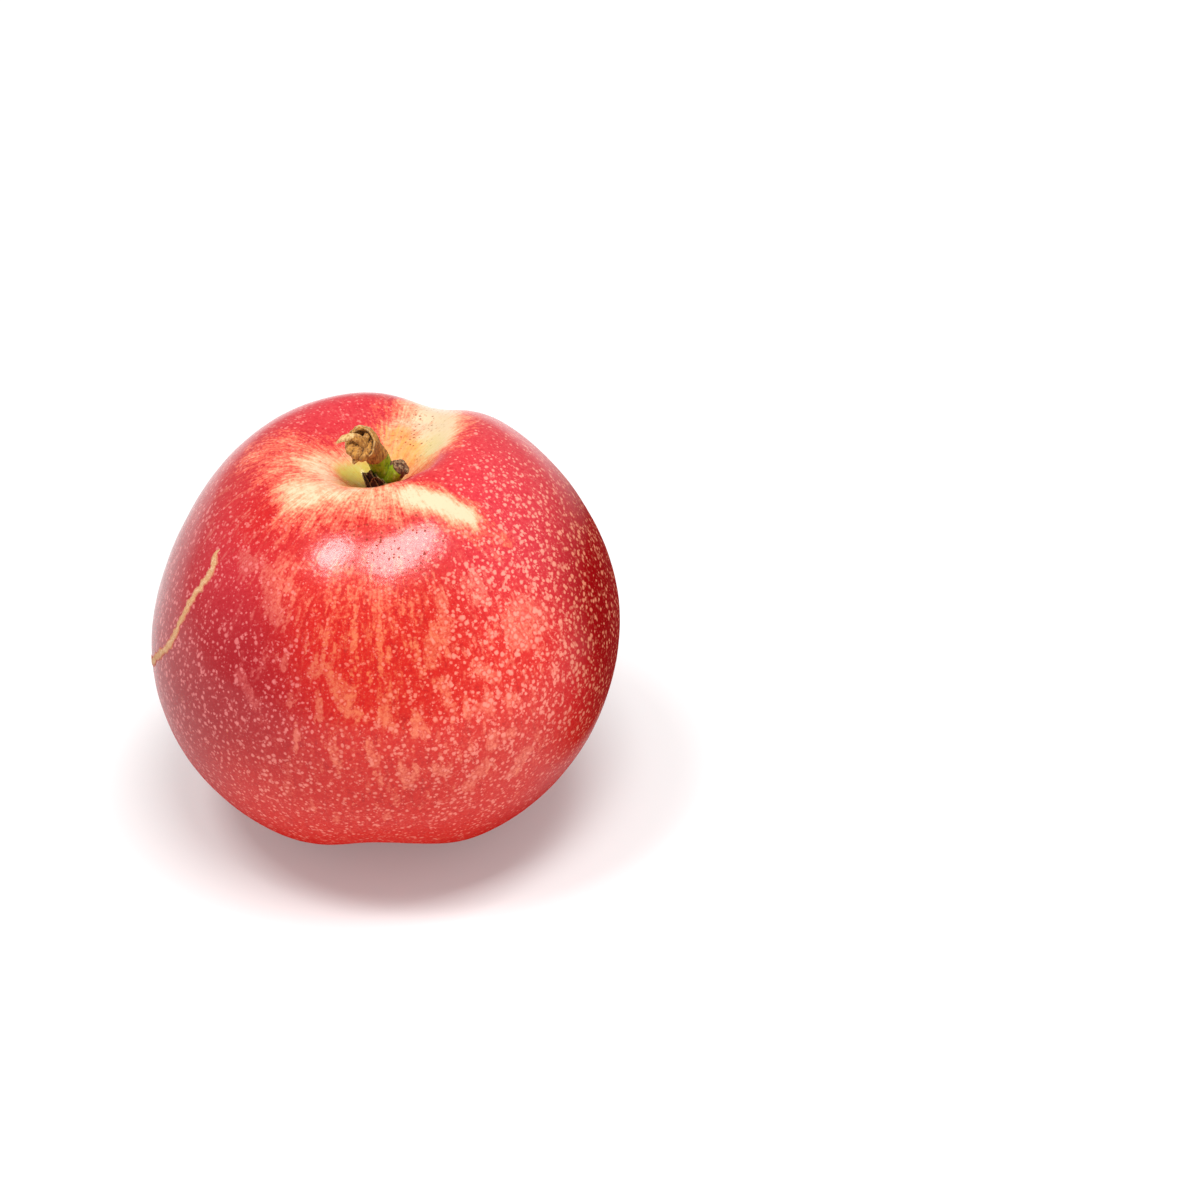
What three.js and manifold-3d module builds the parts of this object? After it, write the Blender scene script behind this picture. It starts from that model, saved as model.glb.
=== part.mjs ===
// A whole nectarine with its stem, standing on its base.
// Millimetres, +Z up, origin under the middle of the fruit on the surface that it rests on.
// The front of the fruit is -Y and the seam groove (suture) runs up its back right side.

import * as THREE from 'three';
import { mergeVertices } from 'three/addons/utils/BufferGeometryUtils.js';
import Module from 'manifold-3d';

const wasm = await Module();
wasm.setup();

// ---------------------------------------------------------------- driving dimensions, mm and degrees

// The fruit's meridian: a chain of four curves from the floor of the stem cavity, over the rim and the
// widest ring, down to the base ring and in to the dimple at the tip.
const FRUIT = {
  axis: [0.3, 0],          // the stem axis stands a little off the middle of the fruit
  radius: 33.5,            // at the widest ring
  widestZ: 31,
  rimZ: 59.7,              // mean height of the rim round the stem cavity
  rimRise: 0.7,            // the rim is higher on one side ...
  rimHighAt: 5,            // ... towards this azimuth
  rimRadius: 12.2,         // mean radius of the rim
  rimShift: 4.2,           // the cavity is narrower on one side ...
  rimShiftAt: 292,         // ... towards this azimuth
  cavityFloorZ: 52.8,
  baseRadius: 9.5,         // the low ring that the fruit stands on
  dimple: 2.2,             // height of the tip's dimple above that ring
  settle: 0.8,             // how far the fruit is lowered, so that its low ring flattens at z = 0
};

// Lengths of the curves' handles: how long the wall keeps its direction at each knot.
const HANDLE = {
  floorOut: 3.2,
  rimIn: 0.6,              // as a share of the rim's own radius
  rimOut: 8.7,
  widestUp: 13.5,
  widestDown: 15.8,
  baseOut: 11.8,
  baseIn: 4.5,
  tipOut: 3,
};

// Broad swellings (+) and flats (-) that make the fruit uneven: direction from its middle, and height.
const SWELL_SPREAD = 28;
const SWELLS = [
  { azimuth: 0, elevation: 0, height: -0.6 },
  { azimuth: 26, elevation: 32, height: 0.5 },
  { azimuth: 73, elevation: 54, height: -0.8 },
  { azimuth: 168, elevation: 16, height: -1.1 },
  { azimuth: 192, elevation: -16, height: 1.2 },
  { azimuth: 225, elevation: -45, height: -0.3 },
  { azimuth: 287, elevation: -54, height: -1.0 },
  { azimuth: 334, elevation: -32, height: -0.4 },
];

// The suture: a groove from the stem cavity over the shoulder and faintly down to the tip.
const SUTURE = {
  azimuth: 73,
  depth: 3,
  widthRight: 4.3,         // half-widths of its two banks on the top ...
  widthLeft: 5.2,
  spreadRight: 1.0,        // ... which widen this much more half-way down the shoulder
  spreadLeft: 0.6,
  lowWidth: 2.4,           // and narrow to this on the flank
  lowDepth: 0.22,          // share of the depth left at the widest ring ...
  tipDepth: 0.3,           // ... and the share that comes back towards the tip
};

// The short crease that splits the front of the base.
const CREASE = { azimuth: 268, depth: 2.6, width: 6 };

// The stem, as centre lines with the radius at each point, from the foot up.
const STALK = {
  points: [[0.5, 0.3, 52.3], [0.5, 0.3, 53.5], [0.5, 0.2, 55.2], [0.2, -0.2, 57.6],
    [-0.4, -0.8, 59.7], [-1.2, -1.4, 61.4]],
  radii: [0.8, 1.5, 1.65, 1.6, 1.62, 1.7],
};
const TORN_END = {
  points: [[-0.9, -0.9, 60.9], [-1.5, -1.6, 61.8], [-2.1, -2.5, 62.6], [-2.6, -3.4, 63.2]],
  radii: [1.65, 2.25, 2.55, 2.3],
  hollow: 0.9,             // how deep the torn face lies inside its ragged collar
  teeth: 5,
  toothHeight: 0.4,
};
const SIDE_STUB = {
  points: [[0.4, -0.1, 55.0], [1.5, -0.5, 56.3], [2.3, -0.8, 57.3], [2.9, -1.0, 58.0]],
  radii: [1.3, 1.45, 1.4, 1.15],
  hollow: 0.25,            // the scar at its end is slightly dished
  teeth: 0,
  toothHeight: 0,
};
const FIBRE = {
  points: [[-1.9, -2.4, 63.2], [-2.7, -3.3, 64.3], [-3.8, -3.3, 64.6], [-4.8, -2.9, 63.7],
    [-5.8, -2.5, 62.7]],
  radii: [0.5, 0.48, 0.42, 0.34, 0.15],
};
const FRAYS = [
  { points: [[-2.4, -3.0, 61.4], [-3.7, -3.5, 61.5], [-4.2, -3.1, 60.9]], radii: [0.6, 0.5, 0.3] },
  { points: [[-1.9, -2.7, 61.0], [-2.9, -3.3, 60.6], [-3.4, -3.0, 60.0]], radii: [0.6, 0.5, 0.3] },
];

// The bud scales: small pointed leaves standing round the foot of the stalk.
const SCALES = {
  count: 6,
  fromAzimuth: 150,        // round the foot, past the left and the front
  toAzimuth: 285,
  centre: [0.5, 0.2],
  footZ: 53.8,
  footRadius: 2.4,         // from the stalk's middle to a scale's middle at its root ...
  flare: 0.7,              // ... and how much further out at its tip
  heights: [2.0, 3.0, 3.6, 3.9, 3.5, 2.4],
  halfWidth: 1.35,
  thickness: 0.6,
  taper: 0.35,             // share of its width that a scale loses towards its tip
};

// Facets: enough for an even outline.
const AROUND = 72;
const RINGS = [9, 12, 13, 8];
const LIMB_SIDES = 14;
const LIMB_RINGS = 9;

// ---------------------------------------------------------------- small helpers

const radians = THREE.MathUtils.degToRad;
const point = (p) => new THREE.Vector3(...p);
const fade = (x, from, to) => THREE.MathUtils.smoothstep(x, from, to);
const bell = (x, width) => Math.exp(-0.5 * (x / width) ** 2);
const mix = THREE.MathUtils.lerp;

// Difference between two azimuths in degrees, from -180 up to 180.
function turnBetween(azimuth, reference) {
  return THREE.MathUtils.euclideanModulo(azimuth - reference + 180, 360) - 180;
}

// ---------------------------------------------------------------- the fruit

const CAVITY = 0;
const SHOULDER = 1;

// Radius and height of the rim at an azimuth.
function rimAt(azimuth) {
  const { rimRadius, rimShift, rimShiftAt, rimZ, rimRise, rimHighAt } = FRUIT;
  return new THREE.Vector2(
    rimRadius - rimShift * Math.cos(radians(azimuth - rimShiftAt)),
    rimZ + rimRise * Math.cos(radians(azimuth - rimHighAt)),
  );
}

// The four curves of the meridian at an azimuth, in (radius, height).
function meridian(azimuth) {
  const rim = rimAt(azimuth);
  const knots = [
    new THREE.Vector2(0, FRUIT.cavityFloorZ),
    rim,
    new THREE.Vector2(FRUIT.radius, FRUIT.widestZ),
    new THREE.Vector2(FRUIT.baseRadius, 0),
    new THREE.Vector2(0, FRUIT.dimple),
  ];
  const handles = [
    [[HANDLE.floorOut, 0], [-HANDLE.rimIn * rim.x, 0]],
    [[HANDLE.rimOut, 0], [0, HANDLE.widestUp]],
    [[0, -HANDLE.widestDown], [HANDLE.baseOut, 0]],
    [[-HANDLE.baseIn, 0], [HANDLE.tipOut, 0]],
  ];
  return handles.map(([leave, arrive], i) => new THREE.CubicBezierCurve(
    knots[i],
    knots[i].clone().add(new THREE.Vector2(...leave)),
    knots[i + 1].clone().add(new THREE.Vector2(...arrive)),
    knots[i + 1],
  ));
}

// Depth of the suture at a place on the surface.
function sutureDepth(stretch, radius, azimuth) {
  const turn = turnBetween(azimuth, SUTURE.azimuth);
  const arc = radians(turn) * Math.max(radius, 0.1);
  const over = fade(radius, FRUIT.rimRadius, 0.98 * FRUIT.radius);
  const right = turn < 0;
  let share;
  let width = SUTURE.lowWidth;
  if (stretch <= SHOULDER) {
    share = stretch === CAVITY ? fade(radius / rimAt(azimuth).x, 0.25, 1) : 1 - (1 - SUTURE.lowDepth) * over;
    const near = right ? SUTURE.widthRight : SUTURE.widthLeft;
    const spread = right ? SUTURE.spreadRight : SUTURE.spreadLeft;
    width = mix(near, SUTURE.lowWidth, over) + 4 * spread * over * (1 - over);
  } else {
    const nearTip = 1 - fade(radius, 1.6 * FRUIT.baseRadius, FRUIT.radius);
    share = SUTURE.lowDepth + SUTURE.tipDepth * nearTip;
    share *= fade(radius, 0.2 * FRUIT.baseRadius, FRUIT.baseRadius);
  }
  const onItsSide = 1 - fade(Math.abs(turn), 55, 115);
  return SUTURE.depth * share * bell(arc, width) * onItsSide;
}

// Depth of the crease at a place on the lower half.
function creaseDepth(stretch, radius, azimuth) {
  if (stretch <= SHOULDER) return 0;
  const turn = turnBetween(azimuth, CREASE.azimuth);
  const arc = radians(turn) * Math.max(radius, 0.1);
  const low = 1 - fade(radius, 1.9 * FRUIT.baseRadius, FRUIT.radius);
  const offTip = fade(radius, 0.1 * FRUIT.baseRadius, FRUIT.baseRadius);
  return CREASE.depth * low * offTip * bell(arc, CREASE.width) * (1 - fade(Math.abs(turn), 40, 90));
}

// Sum of the swellings at a place, by the angle between its direction and theirs.
function swellAt(place) {
  const towards = place.clone().sub(point([0, 0, FRUIT.rimZ / 2])).normalize();
  return SWELLS.reduce((sum, { azimuth, elevation, height }) => {
    const peak = new THREE.Vector3().setFromSphericalCoords(1, radians(90 - elevation), radians(azimuth));
    const angle = towards.angleTo(point([peak.z, peak.x, peak.y]));
    return sum + height * bell(THREE.MathUtils.radToDeg(angle), SWELL_SPREAD);
  }, 0);
}

// One place on the fruit's surface: on a curve of the meridian, pushed along that curve's normal.
function surfacePoint(curve, stretch, t, azimuth) {
  const { x: radius, y: height } = curve.getPoint(t);
  const along = curve.getTangent(t);
  const around = point([Math.cos(radians(azimuth)), Math.sin(radians(azimuth)), 0]);
  const place = around.clone().multiplyScalar(radius).setZ(height);
  const out = swellAt(place) - sutureDepth(stretch, radius, azimuth) - creaseDepth(stretch, radius, azimuth);
  place.addScaledVector(around, -along.y * out);
  place.z = Math.max(place.z + along.x * out - FRUIT.settle, 0);
  return place.add(point([...FRUIT.axis, 0]));
}

// A lathe of the plain meridian gives the facets, and each of its vertices is then set on the surface.
function fruitGeometry() {
  const steps = RINGS.flatMap((rings, stretch) => (
    Array.from({ length: rings }, (_, k) => ({ stretch, t: k / rings }))
  ));
  steps.push({ stretch: RINGS.length - 1, t: 1 });
  steps.reverse();
  const plain = meridian(0);
  const profile = steps.map(({ stretch, t }) => plain[stretch].getPoint(t));
  profile[0].x = 0;
  profile[profile.length - 1].x = 0;
  const geometry = new THREE.LatheGeometry(profile, AROUND);
  const position = geometry.getAttribute('position');
  for (let i = 0; i <= AROUND; i += 1) {
    const azimuth = (360 * (i % AROUND)) / AROUND;
    const curves = meridian(azimuth);
    steps.forEach(({ stretch, t }, j) => {
      const { x, y, z } = surfacePoint(curves[stretch], stretch, t, azimuth);
      position.setXYZ(i * steps.length + j, x, y, z);
    });
  }
  return geometry;
}

// ---------------------------------------------------------------- the stem

// A round limb along a smooth line, with a rounded start and, if it has a hollow, a ragged dished end.
function limbGeometry({ points, radii, hollow = 0, teeth = 0, toothHeight = 0 }) {
  const line = new THREE.CatmullRomCurve3(points.map(point));
  const sizes = new THREE.SplineCurve(radii.map((radius, i) => new THREE.Vector2(i, radius)));
  const length = line.getLength();
  const profile = [new THREE.Vector2(0, 0)];
  for (let k = 0; k <= LIMB_RINGS; k += 1) {
    profile.push(new THREE.Vector2(sizes.getPoint(k / LIMB_RINGS).y, (length * k) / LIMB_RINGS));
  }
  const endRadius = radii[radii.length - 1];
  if (hollow > 0) profile.push(new THREE.Vector2(0.72 * endRadius, length - hollow));
  profile.push(new THREE.Vector2(0, length - 0.6 * hollow));
  const rim = LIMB_RINGS + 1;
  const geometry = new THREE.LatheGeometry(profile, LIMB_SIDES);
  const frames = line.computeFrenetFrames(LIMB_RINGS);
  const position = geometry.getAttribute('position');
  for (let v = 0; v < position.count; v += 1) {
    const ring = v % profile.length;
    const side = Math.floor(v / profile.length) % LIMB_SIDES;
    let along = position.getY(v);
    if (ring === rim) along += toothHeight * Math.sin((2 * Math.PI * teeth * side) / LIMB_SIDES);
    const step = THREE.MathUtils.clamp(ring - 1, 0, LIMB_RINGS);
    const past = along - (length * step) / LIMB_RINGS;
    const place = line.getPoint(line.getUtoTmapping(step / LIMB_RINGS));
    place.addScaledVector(frames.tangents[step], past);
    place.addScaledVector(frames.normals[step], position.getX(v));
    place.addScaledVector(frames.binormals[step], -position.getZ(v));
    position.setXYZ(v, place.x, place.y, place.z);
  }
  return geometry;
}

// ---------------------------------------------------------------- the bud scales

// One scale: a flattened ball, tapered to a point and bent round the stalk.
function scaleGeometry(azimuth, height) {
  const geometry = new THREE.SphereGeometry(1, 10, 8);
  const position = geometry.getAttribute('position');
  for (let v = 0; v < position.count; v += 1) {
    const up = (position.getY(v) + 1) / 2;
    const taper = 1 - SCALES.taper * up ** 2;
    const radius = SCALES.footRadius + SCALES.flare * up ** 2 + 0.5 * SCALES.thickness * position.getZ(v);
    const turn = radians(azimuth) + (SCALES.halfWidth * taper * position.getX(v)) / SCALES.footRadius;
    position.setXYZ(
      v,
      SCALES.centre[0] + radius * Math.cos(turn),
      SCALES.centre[1] + radius * Math.sin(turn),
      SCALES.footZ + height * up,
    );
  }
  return geometry;
}

// ---------------------------------------------------------------- joining

function toSolid(geometry) {
  const bare = geometry.clone();
  bare.deleteAttribute('normal');
  bare.deleteAttribute('uv');
  const merged = mergeVertices(bare, 1e-4);
  return new wasm.Manifold(new wasm.Mesh({
    numProp: 3,
    vertProperties: Float32Array.from(merged.getAttribute('position').array),
    triVerts: Uint32Array.from(merged.getIndex().array),
  }));
}

function join(geometries) {
  const mesh = geometries.map(toSolid).reduce((sum, solid) => sum.add(solid)).getMesh();
  const geometry = new THREE.BufferGeometry();
  geometry.setAttribute('position', new THREE.BufferAttribute(mesh.vertProperties, 3));
  geometry.setIndex(new THREE.BufferAttribute(mesh.triVerts, 1));
  geometry.computeVertexNormals();
  return geometry;
}

// ---------------------------------------------------------------- the model

const skin = new THREE.MeshStandardMaterial({ color: 0xc8322f, roughness: 0.32, metalness: 0 });
const stalkGreen = new THREE.MeshStandardMaterial({ color: 0x7d8a2a, roughness: 0.65, metalness: 0 });
const dryScale = new THREE.MeshStandardMaterial({ color: 0x3a2114, roughness: 0.8, metalness: 0 });

function named(name, geometry, material) {
  const mesh = new THREE.Mesh(geometry, material);
  mesh.name = name;
  return mesh;
}

function budScales() {
  const step = (SCALES.toAzimuth - SCALES.fromAzimuth) / (SCALES.count - 1);
  return join(SCALES.heights.map((height, i) => scaleGeometry(SCALES.fromAzimuth + i * step, height)));
}

const nectarine = new THREE.Group();
nectarine.add(
  named('fruit', fruitGeometry(), skin),
  named('stem', join([STALK, TORN_END, SIDE_STUB, FIBRE, ...FRAYS].map(limbGeometry)), stalkGreen),
  named('bud_scales', budScales(), dryScale),
);

export default nectarine;
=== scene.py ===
"""A whole nectarine with its torn stem, standing on its base: how it looks.

Metres, +Z up, the front of the fruit towards -Y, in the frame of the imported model. Shapes are worked
out in millimetres and turned to metres when they become meshes.
"""

import logging
import math
from dataclasses import dataclass, field
from enum import Enum, IntEnum
from typing import Optional, Sequence, Union

import bpy
import numpy as np
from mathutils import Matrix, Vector, noise
from mathutils.bvhtree import BVHTree


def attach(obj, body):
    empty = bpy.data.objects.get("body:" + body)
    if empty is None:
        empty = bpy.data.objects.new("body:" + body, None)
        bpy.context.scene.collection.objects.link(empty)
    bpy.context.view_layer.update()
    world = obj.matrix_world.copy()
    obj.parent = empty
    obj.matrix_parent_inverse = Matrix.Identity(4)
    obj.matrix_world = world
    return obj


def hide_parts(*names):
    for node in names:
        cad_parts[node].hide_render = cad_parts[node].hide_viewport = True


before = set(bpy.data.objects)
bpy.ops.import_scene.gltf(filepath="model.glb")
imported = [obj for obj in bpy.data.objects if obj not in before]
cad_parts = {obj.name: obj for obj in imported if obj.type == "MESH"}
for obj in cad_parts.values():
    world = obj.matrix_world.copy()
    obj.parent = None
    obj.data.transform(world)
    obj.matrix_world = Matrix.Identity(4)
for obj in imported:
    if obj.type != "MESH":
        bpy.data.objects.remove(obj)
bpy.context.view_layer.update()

log = logging.getLogger("nectarine")

MM = 0.001
SEED_SHIFT = (17.3, -9.1, 5.7)  # how far a seed of 1 moves the noise, in features
SPAN_STEPS = 24  # stations of a smooth line between two of its knots
Point = tuple[float, float, float]
Faces = list[tuple[int, ...]]
Floats = np.ndarray
Socket = bpy.types.NodeSocket


# ---------------------------------------------------------------- numbers and places


def smoothstep(x: Floats, start: float, end: float) -> Floats:
    """Smooth rise from 0 at start to 1 at end."""
    t = np.clip((x - start) / (end - start), 0.0, 1.0)
    return t * t * (3.0 - 2.0 * t)


def bell(x: Floats, width: float) -> Floats:
    """A Gaussian bell of height 1."""
    return np.exp(-0.5 * (x / width) ** 2)


def turn_between(azimuth: Floats, reference: float) -> Floats:
    """Difference between azimuths in degrees, from -180 up to 180."""
    return (azimuth - reference + 180.0) % 360.0 - 180.0


def heading(azimuth: float, elevation: float) -> Floats:
    """Unit vector at an azimuth and elevation in degrees."""
    a, e = math.radians(azimuth), math.radians(elevation)
    return np.array([math.cos(a) * math.cos(e), math.sin(a) * math.cos(e), math.sin(e)])


def angle_from(points: Floats, middle: Sequence[float], azimuth: float, elevation: float) -> Floats:
    """Angle at the middle between each point and a direction.

    Args:
        points: Places, in the last axis.
        middle: Where the directions are taken from.
        azimuth: Azimuth of the direction in degrees.
        elevation: Its elevation in degrees.

    Returns:
        The angles in degrees.
    """
    towards = points - np.asarray(middle)
    towards = towards / np.maximum(np.linalg.norm(towards, axis=-1, keepdims=True), 1e-9)
    return np.degrees(np.arccos(np.clip(towards @ heading(azimuth, elevation), -1, 1)))


def rough(points: Floats, size: float, seed: float) -> Floats:
    """Smooth noise at points.

    Args:
        points: Places in mm, one a row.
        size: Size of the noise's features in mm.
        seed: Shifts the pattern.

    Returns:
        One value a point, from about -1 to 1.
    """
    shift = seed * np.array(SEED_SHIFT)
    return np.array([noise.noise(Vector(p)) for p in (points / size + shift).tolist()])


def distance_to_line(points: Floats, line: Sequence[Point]) -> Floats:
    """Distance of each point to a line through several points, in the same unit."""
    knots = np.asarray(line, float)
    if len(knots) == 1:
        return np.linalg.norm(points - knots[0], axis=1)
    best = np.full(len(points), np.inf)
    for start, end in zip(knots[:-1], knots[1:]):
        along = end - start
        t = np.clip((points - start) @ along / (along @ along), 0.0, 1.0)
        best = np.minimum(best, np.linalg.norm(points - start - t[:, None] * along, axis=1))
    return best


def smooth_line(knots: Sequence[Sequence[float]], count: int) -> Floats:
    """A smooth line (Catmull-Rom) through knots, resampled evenly along its length.

    Args:
        knots: Points of any dimension that the line goes through; the first three columns are the place.
        count: How many points the result has.

    Returns:
        The points, one a row, with the columns of the knots.
    """
    p = np.asarray(knots, float)
    p = np.vstack([2 * p[0] - p[1], p, 2 * p[-1] - p[-2]])
    t = np.linspace(0, 1, SPAN_STEPS, endpoint=False)[:, None]
    pieces = []
    for a, b, c, d in zip(p[:-3], p[1:-2], p[2:-1], p[3:]):
        square, cube = 2 * a - 5 * b + 4 * c - d, 3 * b - a - 3 * c + d
        pieces.append(0.5 * (2 * b + (c - a) * t + square * t**2 + cube * t**3))
    line = np.vstack([*pieces, p[-2]])
    run = np.concatenate([[0], np.cumsum(np.linalg.norm(np.diff(line[:, :3], axis=0), axis=1))])
    even = np.linspace(0, run[-1], count)
    return np.stack([np.interp(even, run, line[:, k]) for k in range(line.shape[1])], 1)


# ---------------------------------------------------------------- meshes and objects


def grid_faces(rings: int, around: int, closed: bool = True, first: int = 0, flip: bool = False) -> Faces:
    """Quads of a grid of vertices, ring after ring.

    Args:
        rings: Number of rings.
        around: Vertices a ring.
        closed: Whether the last vertex of a ring joins the first.
        first: Index of the grid's first vertex.
        flip: Whether the quads face the other way.

    Returns:
        The quads.
    """
    faces = []
    for i in range(rings - 1):
        for j in range(around if closed else around - 1):
            k = (j + 1) % around
            a, b = first + i * around, first + (i + 1) * around
            quad = (a + j, a + k, b + k, b + j)
            faces.append(quad[::-1] if flip else quad)
    return faces


def shell_faces(rows: int, across: int, first: int = 0, flip: bool = False) -> Faces:
    """Quads of a thin closed shell: an outer grid of vertices and then an inner one, joined at their rims.

    Args:
        rows: Rows of each grid.
        across: Vertices a row.
        first: Index of the outer grid's first vertex.
        flip: Whether the quads face the other way.

    Returns:
        The quads.
    """
    inner = first + rows * across
    top = (rows - 1) * across
    ring = list(range(across)) + [i * across + across - 1 for i in range(1, rows)]
    ring += [top + j for j in range(across - 2, -1, -1)] + [i * across for i in range(rows - 2, 0, -1)]
    rim = [(first + b, first + a, inner + a, inner + b) for a, b in zip(ring, ring[1:] + ring[:1])]
    sides = grid_faces(rows, across, False, first, flip) + grid_faces(rows, across, False, inner, not flip)
    return sides + [quad[::-1] if flip else quad for quad in rim]


def add_object(name: str, data: bpy.types.ID) -> bpy.types.Object:
    """Makes an object of a mesh, light or camera and links it to the scene."""
    made = bpy.data.objects.new(name, data)
    bpy.context.scene.collection.objects.link(made)
    return made


def aim(thing: bpy.types.Object, place: Sequence[float], target: Sequence[float]) -> None:
    """Puts a light or camera at a place and turns it to a target, both in metres."""
    thing.location = place
    thing.rotation_euler = (Vector(target) - Vector(place)).to_track_quat("-Z", "Y").to_euler()


def make_object(
    name: str,
    points: Floats,
    faces: Sequence[Sequence[int]],
    materials: Sequence[bpy.types.Material] = (),
    scale: float = MM,
) -> bpy.types.Object:
    """Makes a smooth-shaded mesh object.

    Args:
        name: Name of the object and its mesh.
        points: Its vertices, in mm unless the scale says otherwise.
        faces: Vertex indices of each face.
        materials: Materials in the order of their slots.
        scale: Metres a unit of the points.

    Returns:
        The object, linked to the scene.
    """
    mesh = bpy.data.meshes.new(name)
    mesh.from_pydata((np.asarray(points) * scale).tolist(), [], faces)
    mesh.polygons.foreach_set("use_smooth", np.ones(len(mesh.polygons), bool))
    for material in materials:
        mesh.materials.append(material)
    mesh.update()
    return add_object(name, mesh)


def vertex_vectors(mesh: bpy.types.Mesh, name: str) -> Floats:
    """Three numbers a vertex of a mesh, one vertex a row: its place ("co") or its "normal"."""
    values = np.empty(len(mesh.vertices) * 3)
    mesh.vertices.foreach_get(name, values)
    return values.reshape(-1, 3)


def set_attribute(mesh: bpy.types.Mesh, name: str, values: Floats) -> None:
    """Stores one number or one vector a vertex on a mesh."""
    values = np.asarray(values, np.float32)
    if values.ndim == 1:
        mesh.attributes.new(name, "FLOAT", "POINT").data.foreach_set("value", values)
    else:
        mesh.attributes.new(name, "FLOAT_VECTOR", "POINT").data.foreach_set("vector", values.ravel())


# ---------------------------------------------------------------- materials


LOW, HIGH, TO_LOW, TO_HIGH = 1, 2, 3, 4  # inputs of a Map Range node
UNDER, OVER = 6, 7  # colour inputs of a Mix node
SMOOTH = "SMOOTHSTEP"
MULTIPLY_ADD = "MULTIPLY_ADD"


def linear(hex_colour: str) -> tuple[float, float, float, float]:
    """Linear colour with alpha of an sRGB hex colour."""
    channels = [int(hex_colour[k : k + 2], 16) / 255.0 for k in (1, 3, 5)]
    return (*[c / 12.92 if c <= 0.04045 else ((c + 0.055) / 1.055) ** 2.4 for c in channels], 1.0)


class Graph:
    """The nodes of one material or world."""

    def __init__(self, owner: Union[bpy.types.Material, bpy.types.World], output: str) -> None:
        """Empties the owner's nodes and adds its output.

        Args:
            owner: The material or world.
            output: Type of its output node.
        """
        owner.use_nodes = True
        self.owner = owner
        self.tree = owner.node_tree
        self.tree.nodes.clear()
        self.output = self.tree.nodes.new(output)

    @classmethod
    def material(cls, name: str) -> "Graph":
        """The graph of a new material."""
        return cls(bpy.data.materials.new(name), "ShaderNodeOutputMaterial")

    def add(
        self,
        kind: str,
        inputs: Optional[dict[Union[int, str], object]] = None,
        out: Union[int, str] = 0,
        **settings: object,
    ) -> Socket:
        """Adds a node with its settings and links.

        Args:
            kind: Type of the node, without the "ShaderNode" that all of them start with.
            inputs: A value, or an output socket to link from, for each input by name or number.
            out: The output that is wanted, by name or number.
            **settings: Properties of the node.

        Returns:
            The wanted output socket.
        """
        node = self.tree.nodes.new("ShaderNode" + kind)
        for name, value in settings.items():
            setattr(node, name, value)
        for key, value in (inputs or {}).items():
            if isinstance(value, Socket):
                self.tree.links.new(value, node.inputs[key])
            else:
                node.inputs[key].default_value = value
        return node.outputs[out]

    def millimetres(self) -> Socket:
        """The place on the piece in mm, so that every scale is one over a real size."""
        place = self.add("TexCoord", out="Object")
        return self.add("VectorMath", {0: place, "Scale": 1.0 / MM}, operation="SCALE")

    def lay(
        self,
        under: object,
        source: Socket,
        low: float,
        high: float,
        tone: object,
        amount: float = 1.0,
        mask: Optional[Socket] = None,
    ) -> Socket:
        """Lays a tone over a colour.

        Args:
            under: The colour below.
            source: What decides where the tone lies.
            low: Where the source starts to show the tone.
            high: Where the tone is at its full amount; below low where it shows in the source's low parts.
            tone: A hex colour, or a socket with a colour.
            amount: The most that the tone covers.
            mask: Limits the tone to a region.

        Returns:
            The colour with the tone on it.
        """
        shown = {0: source, LOW: low, HIGH: high, TO_HIGH: amount}
        cover = self.add("MapRange", shown, interpolation_type=SMOOTH)
        if mask is not None:
            cover = self.add("Math", {0: cover, 1: mask}, operation="MULTIPLY")
        over = linear(tone) if isinstance(tone, str) else tone
        return self.add("Mix", {0: cover, UNDER: under, OVER: over}, out=2, data_type="RGBA")

    def finish(self, shader: Socket) -> Union[bpy.types.Material, bpy.types.World]:
        """Links the shader to the output and returns the material or world."""
        self.tree.links.new(shader, self.output.inputs["Surface"])
        return self.owner


class Mask(Enum):
    """Regions of the skin, stored on the mesh under these names."""

    GROUND = "ground"
    VIVID = "vivid"
    CRIMSON = "crimson"
    # Deeper red, partly painted shade down the right side.
    DEEP_RED_AND_PAINTED_SHADE = "deep"
    ROSE = "rose"
    CORAL_AND_PAINTED_LIGHT = "coral"
    # Brighter coral; its zones low on the front are partly painted light on the underside.
    GREEN = "green"
    ORANGE = "orange"
    BLOTCH = "blotch"
    DOTS = "dots"
    SPECKS = "specks"
    STREAKS = "streaks"
    RUBBED = "rubbed"


GRAIN = "grain"  # attribute: the place round the fruit and along its meridians, in mm
EDGE = "edge"  # attribute: how near the vertex is to the edge of its ribbon or scale, from 0 to 1


@dataclass(frozen=True)
class Dots:
    """One size of lenticel, with a dot in each cell. Sizes in mm.

    The radius of a dot is a share of its cell and varies by chance from least up by spread; where it
    comes out below zero, the cell stays empty.
    """

    cell: float
    least: float
    spread: float
    amount: float
    smallest: float = 0.02
    core: float = 0.3
    halo: float = 1.75

    def nodes(self, graph: Graph, place: Socket, size: Socket) -> tuple[Socket, Socket]:
        """Adds the dots.

        Args:
            graph: The material's nodes.
            place: Position in mm.
            size: Factor on the dots' radius.

        Returns:
            1 on a dot, and 1 on the ring round it, fading outwards.
        """
        add = graph.add
        distance = add("TexVoronoi", {"Vector": place, "Scale": 1.0 / self.cell})
        chance = add("SeparateColor", {0: distance.node.outputs["Color"]})
        radius = add("Math", {0: chance, 1: self.spread, 2: self.least}, operation=MULTIPLY_ADD)
        radius = add("Math", {0: radius, 1: size}, operation="MULTIPLY")
        radius = add("Math", {0: radius, 1: self.smallest}, operation="MAXIMUM")
        outer = add("Math", {0: radius, 1: self.halo}, operation="MULTIPLY")
        inner = add("Math", {0: radius, 1: self.core}, operation="MULTIPLY")
        dot = add("MapRange", {0: distance, LOW: radius, HIGH: inner}, interpolation_type=SMOOTH)
        ring = add("MapRange", {0: distance, LOW: outer, HIGH: radius}, interpolation_type=SMOOTH)
        return dot, ring


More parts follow.
